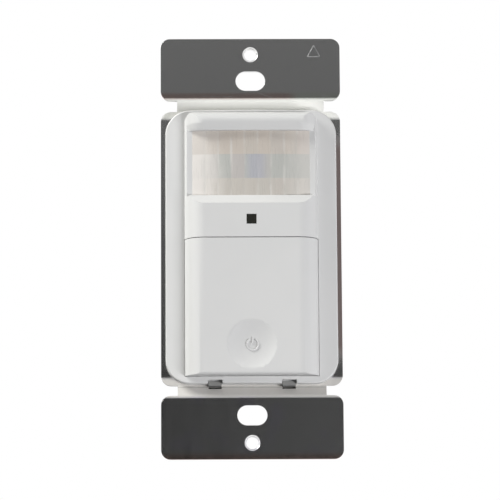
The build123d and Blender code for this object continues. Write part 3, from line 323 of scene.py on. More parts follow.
def lensFinish(looks):
    material, tree, shader, coordinates = startMaterial("milkyLens", looks)
    place = parted(tree, coordinates)
    x, z = place["X"], place["Z"]
    pitch = (lensHigh.x - lensLow.x) / looks["columns"]
    across = mathNode(tree, "DIVIDE", minus(tree, x, lensLow.x), pitch)
    above = mathNode(tree, "GREATER_THAN", z, looks["rowHigh"] * mm)
    below = mathNode(tree, "LESS_THAN", z, looks["rowLow"] * mm)
    # Three chances for each segment
    row = mathNode(tree, "MULTIPLY_ADD", above, 2.0, below)
    chance = addNode(tree, "ShaderNodeTexWhiteNoise", noise_dimensions="2D")
    tree.links.new(joined(tree, mathNode(tree, "FLOOR", across), row), chance.inputs["Vector"])
    chances = addNode(tree, "ShaderNodeSeparateColor")
    tree.links.new(chance.outputs["Color"], chances.inputs[0])
    warmChance, mauveChance, sideChance = chances.outputs
    soft = noiseAt(tree, coordinates, looks["soft"] * mm, detail=2.0, stretch=(1, 1, 0.4))
    # Rows, the outer ones warmer
    warmth = mathNode(tree, "MULTIPLY_ADD", warmChance, 0.45, times(tree, soft, 0.5))
    outer = larger(tree, above, times(tree, below, 0.6))
    warm = times(tree, outer, spread(tree, warmth, 0.15, 0.5, 0.45, 1.0))
    base = mixColours(tree, warm, looks["grey"], looks["cream"])
    base = mixColours(tree, spread(tree, mauveChance, 0.60, 1.0, 0, 0.5), base, looks["mauve"])
    # Bluish core in the middle row
    away = mathNode(tree, "ABSOLUTE", minus(tree, x, looks["core"] * mm))
    core = fade(tree, away, looks["coreSize"], looks["coreShare"], 0, smooth=True)
    core = times(tree, core, minus(tree, 1.0, larger(tree, above, below)))
    base = mixColours(tree, core, base, looks["blue"])
    # Paler towards the sides, most of all on the left
    shifted = mathNode(tree, "MULTIPLY_ADD", soft, 4 * mm, x)
    left = fade(tree, shifted, looks["leftZone"], high=looks["leftShare"], smooth=True)
    left = times(tree, left, mathNode(tree, "MULTIPLY_ADD", above, -0.35, 1.0))
    right = fade(tree, shifted, looks["rightZone"], high=looks["rightShare"], smooth=True)
    side = times(tree, larger(tree, left, right), spread(tree, sideChance, 0, 1, 0.75, 1.0))
    base = mixColours(tree, side, base, looks["pale"])
    # Pale ridges between the columns
    ridge = times(tree, mathNode(tree, "PINGPONG", across, 0.5), pitch)
    ridge = fade(tree, ridge, (0, looks["ridgeWidth"]), looks["ridgeShare"], 0, smooth=True)
    ridge = times(tree, ridge, spread(tree, soft, 0.42, 0.66, 0.05, 1.0))
    base = mixColours(tree, ridge, base, looks["ridge"])
    tree.links.new(base, shader.inputs["Base Color"])
    fine = noiseAt(tree, coordinates, looks["fine"] * mm, detail=2.0, stretch=(1, 1, 0.1))
    tree.links.new(spread(tree, fine, 0.3, 0.7, *looks["rough"]), shader.inputs["Roughness"])
    bumpFrom(tree, shader, fine, looks["depth"] * mm, 0.3)
    return material


milkyLens = lensFinish(lensTones)

smokedWindow = grainFinish("smokedWindow", {
    "colour": (0.020, 0.021, 0.017), "second": (0.026, 0.026, 0.021), "patch": 1.5,
    "rough": (0.10, 0.16), "grain": 0.5, "depth": 0.001, "coat": 0.3,
})
housingPlastic = grainFinish("housingPlastic", {
    "colour": (0.050, 0.052, 0.056), "second": (0.060, 0.061, 0.064), "patch": 12,
    "rough": (0.42, 0.55), "grain": 0.28, "depth": 0.02, "strength": 0.6,
})
pressedSteel = grainFinish("pressedSteel", {
    "colour": (0.42, 0.42, 0.42), "second": (0.16, 0.16, 0.16), "patch": 1.1,
    "rough": (0.30, 0.45), "grain": 0.2, "depth": 0.01, "metallic": 1.0,
})
screwSteel = grainFinish("screwSteel", {
    "colour": (0.66, 0.67, 0.68), "second": (0.56, 0.57, 0.58), "patch": 2.5,
    "rough": (0.22, 0.36), "grain": 0.25, "depth": 0.004, "metallic": 1.0,
})
groundGreen = grainFinish("groundGreen", {
    "colour": (0.060, 0.300, 0.120), "second": (0.080, 0.360, 0.160), "patch": 1.8,
    "rough": (0.25, 0.38), "grain": 0.25, "depth": 0.004, "metallic": 0.85,
})
print("outer finishes made")

# Finishes of the inner pieces
whiteChassis = grainFinish("whiteChassis", {
    "colour": (0.66, 0.66, 0.65), "second": (0.63, 0.63, 0.62), "patch": 10,
    "rough": (0.45, 0.58), "grain": 0.3, "depth": 0.012, "strength": 0.5,
})
blackMoulding = grainFinish("blackMoulding", {
    "colour": (0.022, 0.022, 0.023), "second": (0.030, 0.030, 0.031), "patch": 6,
    "rough": (0.55, 0.70), "grain": 0.25, "depth": 0.02, "strength": 0.6,
})
headerPlastic = grainFinish("headerPlastic", {
    "colour": (0.030, 0.030, 0.032), "second": (0.040, 0.040, 0.041), "patch": 2,
    "rough": (0.40, 0.55), "grain": 0.2, "depth": 0.01,
})
plungerPlastic = grainFinish("plungerPlastic", {
    "colour": (0.035, 0.035, 0.037), "second": (0.048, 0.047, 0.047), "patch": 1.2,
    "rough": (0.35, 0.50), "grain": 0.12, "depth": 0.006,
})
drawnCan = grainFinish("drawnCan", {
    "colour": (0.68, 0.68, 0.69), "second": (0.60, 0.60, 0.61), "patch": 1.6,
    "rough": (0.25, 0.38), "grain": 0.18, "depth": 0.006, "metallic": 1.0, "stretch": (1, 0.1, 1),
})
sensorFilter = grainFinish("sensorFilter", {
    "colour": (0.045, 0.036, 0.055), "second": (0.060, 0.050, 0.062), "patch": 1.4,
    "rough": (0.08, 0.14), "grain": 0.4, "depth": 0.001, "coat": 0.4,
})
redLens = grainFinish("redLens", {
    "colour": (0.62, 0.060, 0.040), "second": (0.70, 0.110, 0.070), "patch": 0.9,
    "rough": (0.10, 0.20), "grain": 0.3, "depth": 0.002, "coat": 0.5,
})
trimmerBlue = grainFinish("trimmerBlue", {
    "colour": (0.035, 0.110, 0.370), "second": (0.050, 0.140, 0.420), "patch": 2.2,
    "rough": (0.35, 0.48), "grain": 0.16, "depth": 0.008,
})
dialWhite = grainFinish("dialWhite", {
    "colour": (0.76, 0.76, 0.73), "second": (0.70, 0.70, 0.67), "patch": 1.3,
    "rough": (0.40, 0.52), "grain": 0.12, "depth": 0.006,
})
rolledBrass = grainFinish("rolledBrass", {
    "colour": (0.80, 0.58, 0.26), "second": (0.70, 0.48, 0.20), "patch": 3,
    "rough": (0.24, 0.40), "grain": 0.2, "depth": 0.005, "metallic": 1.0, "stretch": (1, 1, 0.12),
})
clampSteel = grainFinish("clampSteel", {
    "colour": (0.64, 0.65, 0.64), "second": (0.55, 0.56, 0.56), "patch": 2,
    "rough": (0.28, 0.42), "grain": 0.2, "depth": 0.005, "metallic": 1.0, "stretch": (0.2, 1, 1),
})
relayCase = grainFinish("relayCase", {
    "colour": (0.030, 0.100, 0.300), "second": (0.038, 0.120, 0.340), "patch": 5,
    "rough": (0.26, 0.40), "grain": 0.25, "depth": 0.008,
})
filmCase = grainFinish("filmCase", {
    "colour": (0.58, 0.44, 0.080), "second": (0.64, 0.50, 0.110), "patch": 4,
    "rough": (0.24, 0.36), "grain": 0.3, "depth": 0.008,
})
dippedCoat = grainFinish("dippedCoat", {
    "colour": (0.070, 0.160, 0.420), "second": (0.090, 0.200, 0.480), "patch": 2.2,
    "rough": (0.28, 0.48), "grain": 0.9, "depth": 0.06, "strength": 0.7,
})


# Sleeve or lacquered body: bands across an axis, each at its share of the node's box
def bandedFinish(name, node, axis, looks):
    material, tree, shader, coordinates = startMaterial(name, looks)
    patches = noiseAt(tree, coordinates, looks["patch"] * mm)
    share = spread(tree, patches, 0.35, 0.65, 0, 1, smooth=True)
    base = mixColours(tree, share, looks["colour"], looks["second"])
    along = parted(tree, coordinates)[axis]
    start, end = (getattr(corner, axis.lower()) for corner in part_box(node))
    for place, width, colour in looks["bands"]:
        away = mathNode(tree, "ABSOLUTE", minus(tree, along, start + (end - start) * place))
        band = fade(tree, away, (width / 2, width / 2 - looks["blur"]))
        base = mixColours(tree, band, base, colour)
    tree.links.new(base, shader.inputs["Base Color"])
    tree.links.new(spread(tree, patches, 0.3, 0.7, *looks["rough"]), shader.inputs["Roughness"])
    bumpFrom(tree, shader, noiseAt(tree, coordinates, looks["grain"] * mm), looks["depth"] * mm)
    return material


resistorLacquer = bandedFinish("resistorLacquer", "fuse_resistor", "Z", {
    "colour": (0.17, 0.33, 0.36), "second": (0.20, 0.37, 0.39), "patch": 1.5, "rough": (0.22, 0.34),
    "grain": 0.4, "depth": 0.01, "blur": 0.08,
    "bands": [
        (0.80, 0.8, (0.30, 0.10, 0.04)), (0.62, 0.8, (0.02, 0.02, 0.02)),
        (0.44, 0.8, (0.02, 0.02, 0.02)), (0.20, 0.8, (0.60, 0.42, 0.10)),
    ],
})
capacitorSleeve = bandedFinish("capacitorSleeve", "smoothing_capacitor", "X", {
    "colour": (0.030, 0.036, 0.075), "second": (0.036, 0.042, 0.085), "patch": 3, "rough": (0.20, 0.30),
    "grain": 0.5, "depth": 0.006, "blur": 0.08, "bands": [(0.93, 1.4, (0.52, 0.53, 0.55))],
})


# Circuit board: solder mask over branching tracks, with tinned pads
def boardFinish(looks):
    material, tree, shader, coordinates = startMaterial("solderMask", looks)
    tracks = addNode(
        tree, "ShaderNodeTexVoronoi", {"Scale": 1 / (looks["track"] * mm)}, feature="DISTANCE_TO_EDGE",
    )
    pads = addNode(
        tree, "ShaderNodeTexVoronoi", {"Scale": 1 / (looks["pitch"] * mm), "Randomness": 0.35}, feature="F1",
    )
    for texture in (tracks, pads):
        tree.links.new(coordinates, texture.inputs["Vector"])
    line = spread(tree, tracks.outputs["Distance"], 0.06, 0.10, 1, 0)
    base = mixColours(tree, line, looks["colour"], looks["trace"])
    weave = noiseAt(tree, coordinates, looks["weave"] * mm, detail=1.0)
    base = mixColours(tree, spread(tree, weave, 0.3, 0.7, 0, 0.3), base, looks["second"])
    pad = spread(tree, pads.outputs["Distance"], 0.20, 0.16, 0, 1)
    base = mixColours(tree, pad, base, looks["tin"])
    tree.links.new(base, shader.inputs["Base Color"])
    tree.links.new(spread(tree, pad, 0, 1, 0.34, 0.22), shader.inputs["Roughness"])
    tree.links.new(pad, shader.inputs["Metallic"])
    bumpFrom(tree, shader, larger(tree, line, pad), looks["depth"] * mm, 0.6)
    return material


solderMask = boardFinish({
    "colour": (0.018, 0.130, 0.050), "second": (0.026, 0.160, 0.065), "trace": (0.040, 0.230, 0.090),
    "tin": (0.72, 0.72, 0.70), "track": 5.5, "pitch": 3.1, "weave": 0.4, "depth": 0.03,
})


# Photocell: a dull red track winding over a pale ceramic
def photocellFinish(looks):
    material, tree, shader, coordinates = startMaterial("photocellTrack", looks)
    centred = addNode(tree, "ShaderNodeMapping", {"Scale": (1 / (looks["pitch"] * mm),) * 3})
    tree.links.new(coordinates, centred.inputs["Vector"])
    wave = addNode(
        tree, "ShaderNodeTexWave", {"Scale": 0.5, "Distortion": 1.2, "Detail": 1.0}, bands_direction="Z",
    )
    tree.links.new(centred.outputs[0], wave.inputs["Vector"])
    winding = wave.outputs["Fac"]
    base = mixColours(tree, spread(tree, winding, 0.42, 0.58, 0, 1), looks["ceramic"], looks["track"])
    tree.links.new(base, shader.inputs["Base Color"])
    tree.links.new(spread(tree, winding, 0, 1, *looks["rough"]), shader.inputs["Roughness"])
    bumpFrom(tree, shader, winding, looks["depth"] * mm)
    return material


photocellTrack = photocellFinish({
    "ceramic": (0.72, 0.60, 0.40), "track": (0.34, 0.10, 0.05), "pitch": 0.55, "coat": 0.5,
    "rough": (0.2, 0.4), "depth": 0.02,
})
print("inner finishes made")

# Main shells with broken edges
softCopy("mounting_strap", "mountingStrap", "switch_body", zincSteel, edge=0.08)
softCopy("front_frame", "frontFrame", "switch_body", satinWhite, edge=0.10)
softCopy("push_button", "pushButton", "button", satinWhite, edge=0.08)
softCopy("motion_lens", "motionLens", "switch_body", milkyLens, edge=0.10)
softCopy("rear_housing", "rearHousing", "switch_body", housingPlastic, edge=0.15)
finishes = {
    "light_window": smokedWindow, "front_chassis": whiteChassis, "sensor_shroud": blackMoulding,
    "pir_can": drawnCan, "pir_filter": sensorFilter, "sensor_board": solderMask, "status_led": redLens,
    "photocell": photocellTrack, "tact_switch_body": headerPlastic, "tact_switch_plunger": plungerPlastic,
    "trimmer_bodies": trimmerBlue, "time_dial": dialWhite, "sensitivity_dial": dialWhite,
    "light_level_dial": dialWhite, "line_terminal": rolledBrass, "load_terminal": rolledBrass,
    "neutral_terminal": rolledBrass, "wire_clamps": clampSteel, "main_board": solderMask,
    "relay": relayCase, "dropper_capacitor": filmCase, "smoothing_capacitor": capacitorSleeve,
    "surge_varistor": dippedCoat, "fuse_resistor": resistorLacquer, "bridge_rectifier": headerPlastic,
    "board_header": headerPlastic,
}
for node, finish in finishes.items():
    dress(node, finish)
print("shells made and inner pieces dressed")


# Geometry Nodes: a modifier's inputs are set by socket identifier, then the result becomes a plain mesh
def runTree(piece, tree, values):
    modifier = piece.modifiers.new("shape", "NODES")
    modifier.node_group = tree
    for item in tree.interface.items_tree:
        if item.in_out == "INPUT" and item.name in values:
            modifier[item.identifier] = values[item.name]
    bpy.context.view_layer.update()
    evaluated = piece.evaluated_get(bpy.context.evaluated_depsgraph_get())
    mesh = bpy.data.meshes.new_from_object(evaluated)
    piece.modifiers.remove(modifier)
    piece.data = mesh
    mesh.name = piece.name
    return mesh


def newTree(name, inputs):
    tree = bpy.data.node_groups.new(name, "GeometryNodeTree")
    tree.interface.new_socket("Geometry", in_out="INPUT", socket_type="NodeSocketGeometry")
    for label, kind in inputs:
        tree.interface.new_socket(label, in_out="INPUT", socket_type="NodeSocket" + kind)
    tree.interface.new_socket("Geometry", in_out="OUTPUT", socket_type="NodeSocketGeometry")
    given = tree.nodes.new("NodeGroupInput").outputs
    return tree, given


def endTree(tree, geometry, material):
    realize = addNode(tree, "GeometryNodeRealizeInstances")
    paint = addNode(tree, "GeometryNodeSetMaterial")
    smooth = addNode(tree, "GeometryNodeSetShadeSmooth")
    output = addNode(tree, "NodeGroupOutput")
    tree.links.new(geometry, realize.inputs[0])
    tree.links.new(realize.outputs[0], smooth.inputs[0])
    tree.links.new(smooth.outputs[0], paint.inputs["Geometry"])
    tree.links.new(material, paint.inputs["Material"])
    tree.links.new(paint.outputs[0], output.inputs[0])


# Lens segments: a closed sheet on the lens's curved front, each segment a low pillow between grooves
def segmentTree():
    tree, given = newTree("lensSegments", [
        ("Width", "Float"), ("Low", "Float"), ("High", "Float"), ("Columns", "Int"), ("Row low", "Float"),
        ("Row high", "Float"), ("Front", "Float"), ("Crown", "Float"), ("Pillow", "Float"),
        ("Thickness", "Float"), ("Across", "Int"), ("Up", "Int"), ("Material", "Material"),
    ])
    sheet = addNode(tree, "GeometryNodeMeshCube", {"Vertices Y": 2})
    tree.links.new(given["Across"], sheet.inputs["Vertices X"])
    tree.links.new(given["Up"], sheet.inputs["Vertices Z"])
    tall = minus(tree, given["High"], given["Low"])
    tree.links.new(joined(tree, given["Width"], given["Thickness"], tall), sheet.inputs["Size"])
    x, y, sheetZ = parted(tree, addNode(tree, "GeometryNodeInputPosition").outputs[0])
    z = mathNode(tree, "ADD", sheetZ, mathNode(tree, "MULTIPLY_ADD", tall, 0.5, given["Low"]))
    share = mathNode(tree, "DIVIDE", x, given["Width"])
    # Place in the segment, 0 at its limits and 1 at its middle
    column = times(tree, mathNode(tree, "ADD", share, 0.5), given["Columns"])
    acrossCell = times(tree, mathNode(tree, "PINGPONG", column, 0.5), 2.0)
    limits = (given["Low"], given["Row low"], given["Row high"], given["High"])
    upCell = None
    for start, end in zip(limits, limits[1:]):
        middle = times(tree, mathNode(tree, "ADD", start, end), 0.5)
        half = times(tree, minus(tree, end, start), 0.5)
        away = mathNode(tree, "DIVIDE", mathNode(tree, "ABSOLUTE", minus(tree, z, middle)), half)
        rise = larger(tree, minus(tree, 1.0, away), 0.0)
        upCell = rise if upCell is None else larger(tree, upCell, rise)
    # Each way the pillow is flat in the middle and falls steeply to the groove
    dips = [mathNode(tree, "POWER", minus(tree, 1.0, part), 3.0) for part in (acrossCell, upCell)]
    bowls = [minus(tree, 1.0, dip) for dip in dips]
    pillow = times(tree, times(tree, *bowls), given["Pillow"])
    # The sheet follows the lens's crown; only its front face has the pillows
    fall = times(tree, times(tree, share, share), 4.0)
    front = mathNode(tree, "MULTIPLY_ADD", fall, given["Crown"], given["Front"])
    front = minus(tree, front, times(tree, mathNode(tree, "LESS_THAN", y, 0.0), pillow))
    depth = mathNode(tree, "ADD", mathNode(tree, "MULTIPLY_ADD", given["Thickness"], 0.5, y), front)
    shaped = addNode(tree, "GeometryNodeSetPosition")
    tree.links.new(sheet.outputs["Mesh"], shaped.inputs["Geometry"])
    tree.links.new(joined(tree, x, depth, z), shaped.inputs["Position"])
    endTree(tree, shaped.outputs[0], given["Material"])
    return tree


segmentMargin = 0.14
lensSegments = {
    "Columns": lensTones["columns"], "Across": 146, "Up": 81, "Front": lensLow.y / mm, "Crown": 0.8,
    "Pillow": 0.05, "Thickness": 0.3, "Row low": lensTones["rowLow"], "Row high": lensTones["rowHigh"],
    "Width": (lensHigh.x - lensLow.x) / mm - 2 * segmentMargin,
    "Low": lensLow.z / mm + segmentMargin, "High": lensHigh.z / mm - segmentMargin,
}
segments = inScene("lensSegments", bpy.data.meshes.new("lensSegmentsStart"))
mesh = runTree(segments, segmentTree(), {**inMetres(lensSegments), "Material": milkyLens})
mesh.set_sharp_from_angle(angle=math.radians(50))
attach(segments, "switch_body")
print("lens segments made,", len(mesh.vertices), "vertices")

# Largest turn of a screw about its own axis, in radians
screwTurn = 3.1


# Screws: a domed head with a cross or a slot in it and a threaded shank, at each vertex of a carrier
def screwTree():
    tree, given = newTree("recessedScrews", [
        ("Head radius", "Float"), ("Head height", "Float"), ("Head sides", "Int"), ("Head round", "Float"),
        ("Slot length", "Float"), ("Cross length", "Float"), ("Slot width", "Float"), ("Slot depth", "Float"),
        ("Shank radius", "Float"), ("Shank length", "Float"), ("Pitch", "Float"), ("Thread depth", "Float"),
        ("Seed", "Int"), ("Material", "Material"),
    ])
    # Head, its rim rounded towards the top
    head = addNode(
        tree, "GeometryNodeMeshCylinder", {"Side Segments": 7, "Fill Segments": 3}, fill_type="TRIANGLE_FAN",
    )
    tree.links.new(given["Head sides"], head.inputs["Vertices"])
    tree.links.new(given["Head radius"], head.inputs["Radius"])
    tree.links.new(given["Head height"], head.inputs["Depth"])
    x, y, z = parted(tree, addNode(tree, "GeometryNodeInputPosition").outputs[0])
    upper = larger(tree, times(tree, mathNode(tree, "DIVIDE", z, given["Head height"]), 2.0), 0.0)
    bent = mathNode(tree, "POWER", upper, 2.5)
    shrink = minus(tree, 1.0, times(tree, bent, given["Head round"]))
    raised = mathNode(tree, "ADD", z, times(tree, given["Head height"], 0.5))
    dome = joined(tree, times(tree, x, shrink), times(tree, y, shrink), raised)
    domed = addNode(tree, "GeometryNodeSetPosition")
    tree.links.new(head.outputs["Mesh"], domed.inputs["Geometry"])
    tree.links.new(dome, domed.inputs["Position"])
    # Recess: two crossed bars are taken out of the head
    carve = addNode(tree, "GeometryNodeMeshBoolean", operation="DIFFERENCE", solver="EXACT")
    tree.links.new(domed.outputs[0], carve.inputs[0])
    wide, deep = given["Slot width"], times(tree, given["Slot depth"], 2.0)
    for size in ((given["Slot length"], wide, deep), (wide, given["Cross length"], deep)):
        bar = addNode(tree, "GeometryNodeMeshCube")
        tree.links.new(joined(tree, *size), bar.inputs["Size"])
        lift = addNode(tree, "GeometryNodeTransform")
        tree.links.new(joined(tree, None, None, given["Head height"]), lift.inputs["Translation"])
        tree.links.new(bar.outputs["Mesh"], lift.inputs["Geometry"])
        tree.links.new(lift.outputs[0], carve.inputs[1])
    # Shank: a long cylinder whose surface rises and falls along a helix, six rings to a turn
    shank = addNode(
        tree, "GeometryNodeMeshCylinder", {"Vertices": 20, "Fill Segments": 1}, fill_type="TRIANGLE_FAN",
    )
    rings = times(tree, mathNode(tree, "DIVIDE", given["Shank length"], given["Pitch"]), 6.0)
    tree.links.new(rings, shank.inputs["Side Segments"])
    tree.links.new(given["Shank radius"], shank.inputs["Radius"])
    tree.links.new(given["Shank length"], shank.inputs["Depth"])
    turnShare = mathNode(tree, "DIVIDE", mathNode(tree, "ARCTAN2", y, x), 2 * math.pi)
    run = mathNode(tree, "ADD", mathNode(tree, "DIVIDE", z, given["Pitch"]), turnShare)
    groove = times(tree, mathNode(tree, "PINGPONG", run, 0.5), given["Thread depth"])
    groove = mathNode(tree, "DIVIDE", groove, given["Shank radius"])
    grown = minus(tree, 1.0, times(tree, groove, 2.0))
    lowered = minus(tree, z, times(tree, given["Shank length"], 0.5))
    helix = joined(tree, times(tree, x, grown), times(tree, y, grown), lowered)
    threaded = addNode(tree, "GeometryNodeSetPosition")
    tree.links.new(shank.outputs["Mesh"], threaded.inputs["Geometry"])
    tree.links.new(helix, threaded.inputs["Position"])
    whole = addNode(tree, "GeometryNodeJoinGeometry")
    tree.links.new(threaded.outputs[0], whole.inputs[0])
    tree.links.new(carve.outputs["Mesh"], whole.inputs[0])
    # One screw on each carrier vertex, along its facing, at its own turn
    facing = addNode(tree, "GeometryNodeInputNamedAttribute", {"Name": "facing"}, data_type="FLOAT_VECTOR")
    aim = addNode(tree, "FunctionNodeAlignRotationToVector", axis="Z")
    tree.links.new(facing.outputs[0], aim.inputs["Vector"])
    onPoints = addNode(tree, "GeometryNodeInstanceOnPoints")
    tree.links.new(given["Geometry"], onPoints.inputs["Points"])
    tree.links.new(whole.outputs[0], onPoints.inputs["Instance"])
    tree.links.new(aim.outputs[0], onPoints.inputs["Rotation"])
    turn = addNode(tree, "FunctionNodeRandomValue", data_type="FLOAT")
    turn.inputs[2].default_value, turn.inputs[3].default_value = 0.0, screwTurn
    tree.links.new(given["Seed"], turn.inputs["Seed"])
    turnedScrews = addNode(tree, "GeometryNodeRotateInstances")
    tree.links.new(onPoints.outputs[0], turnedScrews.inputs["Instances"])
    tree.links.new(joined(tree, None, None, turn.outputs[1]), turnedScrews.inputs["Rotation"])
    endTree(tree, turnedScrews.outputs[0], given["Material"])
    return tree


screws = screwTree()


def addScrews(name, node, places, facings, looks, material):
    carrier = bpy.data.meshes.new(name + "Places")
    carrier.from_pydata(places, [], [])
    facing = carrier.attributes.new("facing", "FLOAT_VECTOR", "POINT")
    for item, direction in zip(facing.data, facings):
        item.vector = direction
    piece = inScene(name, carrier)
    mesh = runTree(piece, screws, {
        **inMetres(looks), "Head round": looks["Head round"], "Material": material,
    })
    mesh.set_sharp_from_angle(angle=math.radians(35))
    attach(piece, "switch_body")
    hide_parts(node)


# Four long assembly screws from the rear
assemblyScrew = {
    "Head radius": 2.4, "Head height": 1.7, "Head sides": 40, "Head round": 0.30, "Slot length": 2.9,
    "Cross length": 2.9, "Slot width": 0.62, "Slot depth": 1.1, "Shank radius": 1.4,
    "Pitch": 1.1, "Thread depth": 0.3, "Seed": 4,
}
low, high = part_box("assembly_screws")
headOffset = assemblyScrew["Head radius"] * mm
seat = high.y - assemblyScrew["Head height"] * mm
assemblyScrew["Shank length"] = (seat - low.y) / mm
addScrews(
    "assemblyScrews", "assembly_screws",
    [(sx * (high.x - headOffset), seat, sz * (high.z - headOffset)) for sx in (-1, 1) for sz in (-1, 1)],
    [(0, 1, 0)] * 4, assemblyScrew, screwSteel,
)

# Three terminal screws, two on the right and one on the left
terminalScrew = {
    "Head radius": 3.6, "Head height": 2.0, "Head sides": 44, "Head round": 0.16, "Slot length": 8.0,
    "Cross length": 3.4, "Slot width": 1.0, "Slot depth": 0.9, "Shank radius": 1.7, "Shank length": 4.0,
    "Pitch": 0.8, "Thread depth": 0.25, "Seed": 9,
}
low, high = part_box("terminal_screws")
headOffset = terminalScrew["Head radius"] * mm
depth = (low.y + high.y) / 2
seatX = high.x - terminalScrew["Head height"] * mm
upperLevel, lowerLevel = high.z - headOffset, low.z + headOffset
addScrews(
    "terminalScrews", "terminal_screws",
    [(seatX, depth, upperLevel), (-seatX, depth, upperLevel), (seatX, depth, lowerLevel)],
    [(1, 0, 0), (-1, 0, 0), (1, 0, 0)], terminalScrew, screwSteel,
)

# Green ground screw with a six-sided head
groundScrew = {
    "Head radius": 3.5, "Head height": 1.9, "Head sides": 6, "Head round": 0.10, "Slot length": 8.0,
    "Cross length": 3.0, "Slot width": 1.0, "Slot depth": 0.9, "Shank radius": 1.9,
    "Pitch": 0.8, "Thread depth": 0.25, "Seed": 2,
}
low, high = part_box("ground_screw")
seatX = low.x + groundScrew["Head height"] * mm
groundScrew["Shank length"] = (high.x - seatX) / mm
addScrews(
    "groundScrew", "ground_screw",
    [(seatX, (low.y + high.y) / 2, (low.z + high.z) / 2)], [(-1, 0, 0)], groundScrew, groundGreen,
)
print("screws made")

# Raised on/off sign in the dimple: an open ring with a bar, round-backed strokes on the hollow's surface
powerSign = {
    "ring": 1.4, "stroke": 0.23, "gap": 34, "barLow": 0.2, "barHigh": 1.75, "lift": 0.08,
    "depth": 1.2, "radius": 6.3, "ringSteps": 40, "barSteps": 4,
}


def strokeMesh(work, path, radius, sides=10):
    rings = []
    for index, point in enumerate(path):
        before, after = path[max(index - 1, 0)], path[min(index + 1, len(path) - 1)]
        along = (after - before).normalized()
        across = along.cross(Vector((0, 1, 0))).normalized()
        out = across.cross(along).normalized()
        ring = []
        for step in range(sides):
            angle = 2 * math.pi * step / sides
            ring.append(work.verts.new(point + radius * (math.cos(angle) * across + math.sin(angle) * out)))
        rings.append(ring)
    for first, second in zip(rings, rings[1:]):
        for step in range(sides):
            following = (step + 1) % sides
            work.faces.new((first[step], first[following], second[following], second[step]))
    work.faces.new(list(reversed(rings[0])))
    work.faces.new(rings[-1])


# Strokes along the closed outline through the corners
def strokeOutline(work, corners, radius):
    for first, second in zip(corners, corners[1:] + corners[:1]):
        strokeMesh(work, [first.lerp(second, step / 3) for step in range(4)], radius, sides=8)


def pieceFrom(work, name, body, material, smoothAngle=40):
    bmesh.ops.recalc_face_normals(work, faces=work.faces)
    mesh = bpy.data.meshes.new(name)
    work.to_mesh(mesh)
    work.free()
    mesh.materials.append(material)
    mesh.shade_smooth()
    mesh.set_sharp_from_angle(angle=math.radians(smoothAngle))
    piece = inScene(name, mesh)
    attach(piece, body)


low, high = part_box("push_button")
plungerLow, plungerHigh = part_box("tact_switch_plunger")
signLevel = (plungerLow.z + plungerHigh.z) / 2
dimpleFloor = low.y + powerSign["depth"] * mm
hollow = (powerSign["radius"] ** 2 + powerSign["depth"] ** 2) / (2 * powerSign["depth"]) * mm


def onDimple(x, z):
    sag = hollow - math.sqrt(hollow**2 - x**2 - z**2)
    return Vector((x, dimpleFloor - sag - powerSign["lift"] * mm, signLevel + z))


work = bmesh.new()
strokeRadius, ringRadius = powerSign["stroke"] * mm, powerSign["ring"] * mm
gap, ringSteps = math.radians(powerSign["gap"]), powerSign["ringSteps"]
turns = [gap + (2 * math.pi - 2 * gap) * step / ringSteps for step in range(ringSteps + 1)]
strokeMesh(work, [onDimple(ringRadius * math.sin(a), ringRadius * math.cos(a)) for a in turns], strokeRadius)
barLow, barSteps = powerSign["barLow"], powerSign["barSteps"]
barLevels = [barLow + (powerSign["barHigh"] - barLow) * step / barSteps for step in range(barSteps + 1)]
strokeMesh(work, [onDimple(0, level * mm) for level in barLevels], strokeRadius)
pieceFrom(work, "powerSign", "button", satinWhite)

# Stamped orientation mark on the upper ear: a small triangle, apex up
stampedMark = {"place": (15.8, 49.3), "half": 1.55, "height": 2.9, "stroke": 0.10, "ear": -1.2}
work = bmesh.new()
markX, markZ = stampedMark["place"][0] * mm, stampedMark["place"][1] * mm
half, tall = stampedMark["half"] * mm, stampedMark["height"] * mm
markDepth = (stampedMark["ear"] + 0.5 * stampedMark["stroke"]) * mm
corners = ((0, tall / 2), (-half, -tall / 2), (half, -tall / 2))
corners = [Vector((markX + x, markDepth, markZ + z)) for x, z in corners]
strokeOutline(work, corners, stampedMark["stroke"] * mm)
pieceFrom(work, "stampedMark", "switch_body", pressedSteel)

# Raised numbers at the terminal pockets and a wire-strip gauge on the back of the housing
mouldedMarks = {
    "size": 3.6, "lift": 0.15, "sink": 0.10, "gauge": 11.0, "gaugeHeight": 2.2, "stroke": 0.14,
    "numbers": [("1", 1, 23.6), ("2", 1, -3.4), ("3", -1, 23.6)], "inset": 10.4,
}
low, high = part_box("rear_housing")


def raisedNumber(text, side, level):
    curve = bpy.data.curves.new("number" + text, "FONT")
    curve.body, curve.size, curve.align_x, curve.align_y = text, mouldedMarks["size"] * mm, "CENTER", "CENTER"
    curve.extrude = (mouldedMarks["lift"] + mouldedMarks["sink"]) / 2 * mm
    curve.resolution_u = 3
    holder = inScene("number" + text, curve)
    bpy.context.view_layer.update()
    mesh = bpy.data.meshes.new_from_object(holder.evaluated_get(bpy.context.evaluated_depsgraph_get()))
    bpy.data.objects.remove(holder)
    # Read from the side: the text's front looks along +X or -X and its top points up
    facing = Vector((side, 0, 0))
    upward = Vector((0, 0, 1))
    turn = Matrix((upward.cross(facing), upward, facing)).transposed().to_4x4()
    depth = side * (high.x + (mouldedMarks["lift"] - mouldedMarks["sink"]) / 2 * mm)
    mesh.transform(Matrix.Translation((depth, low.y + mouldedMarks["inset"] * mm, level * mm)) @ turn)
    work = bmesh.new()
    work.from_mesh(mesh)
    bmesh.ops.remove_doubles(work, verts=work.verts, dist=0.001 * mm)
    pieceFrom(
        work, "terminalNumber" + text, "switch_body", housingPlastic, smoothAngle=30,
    )


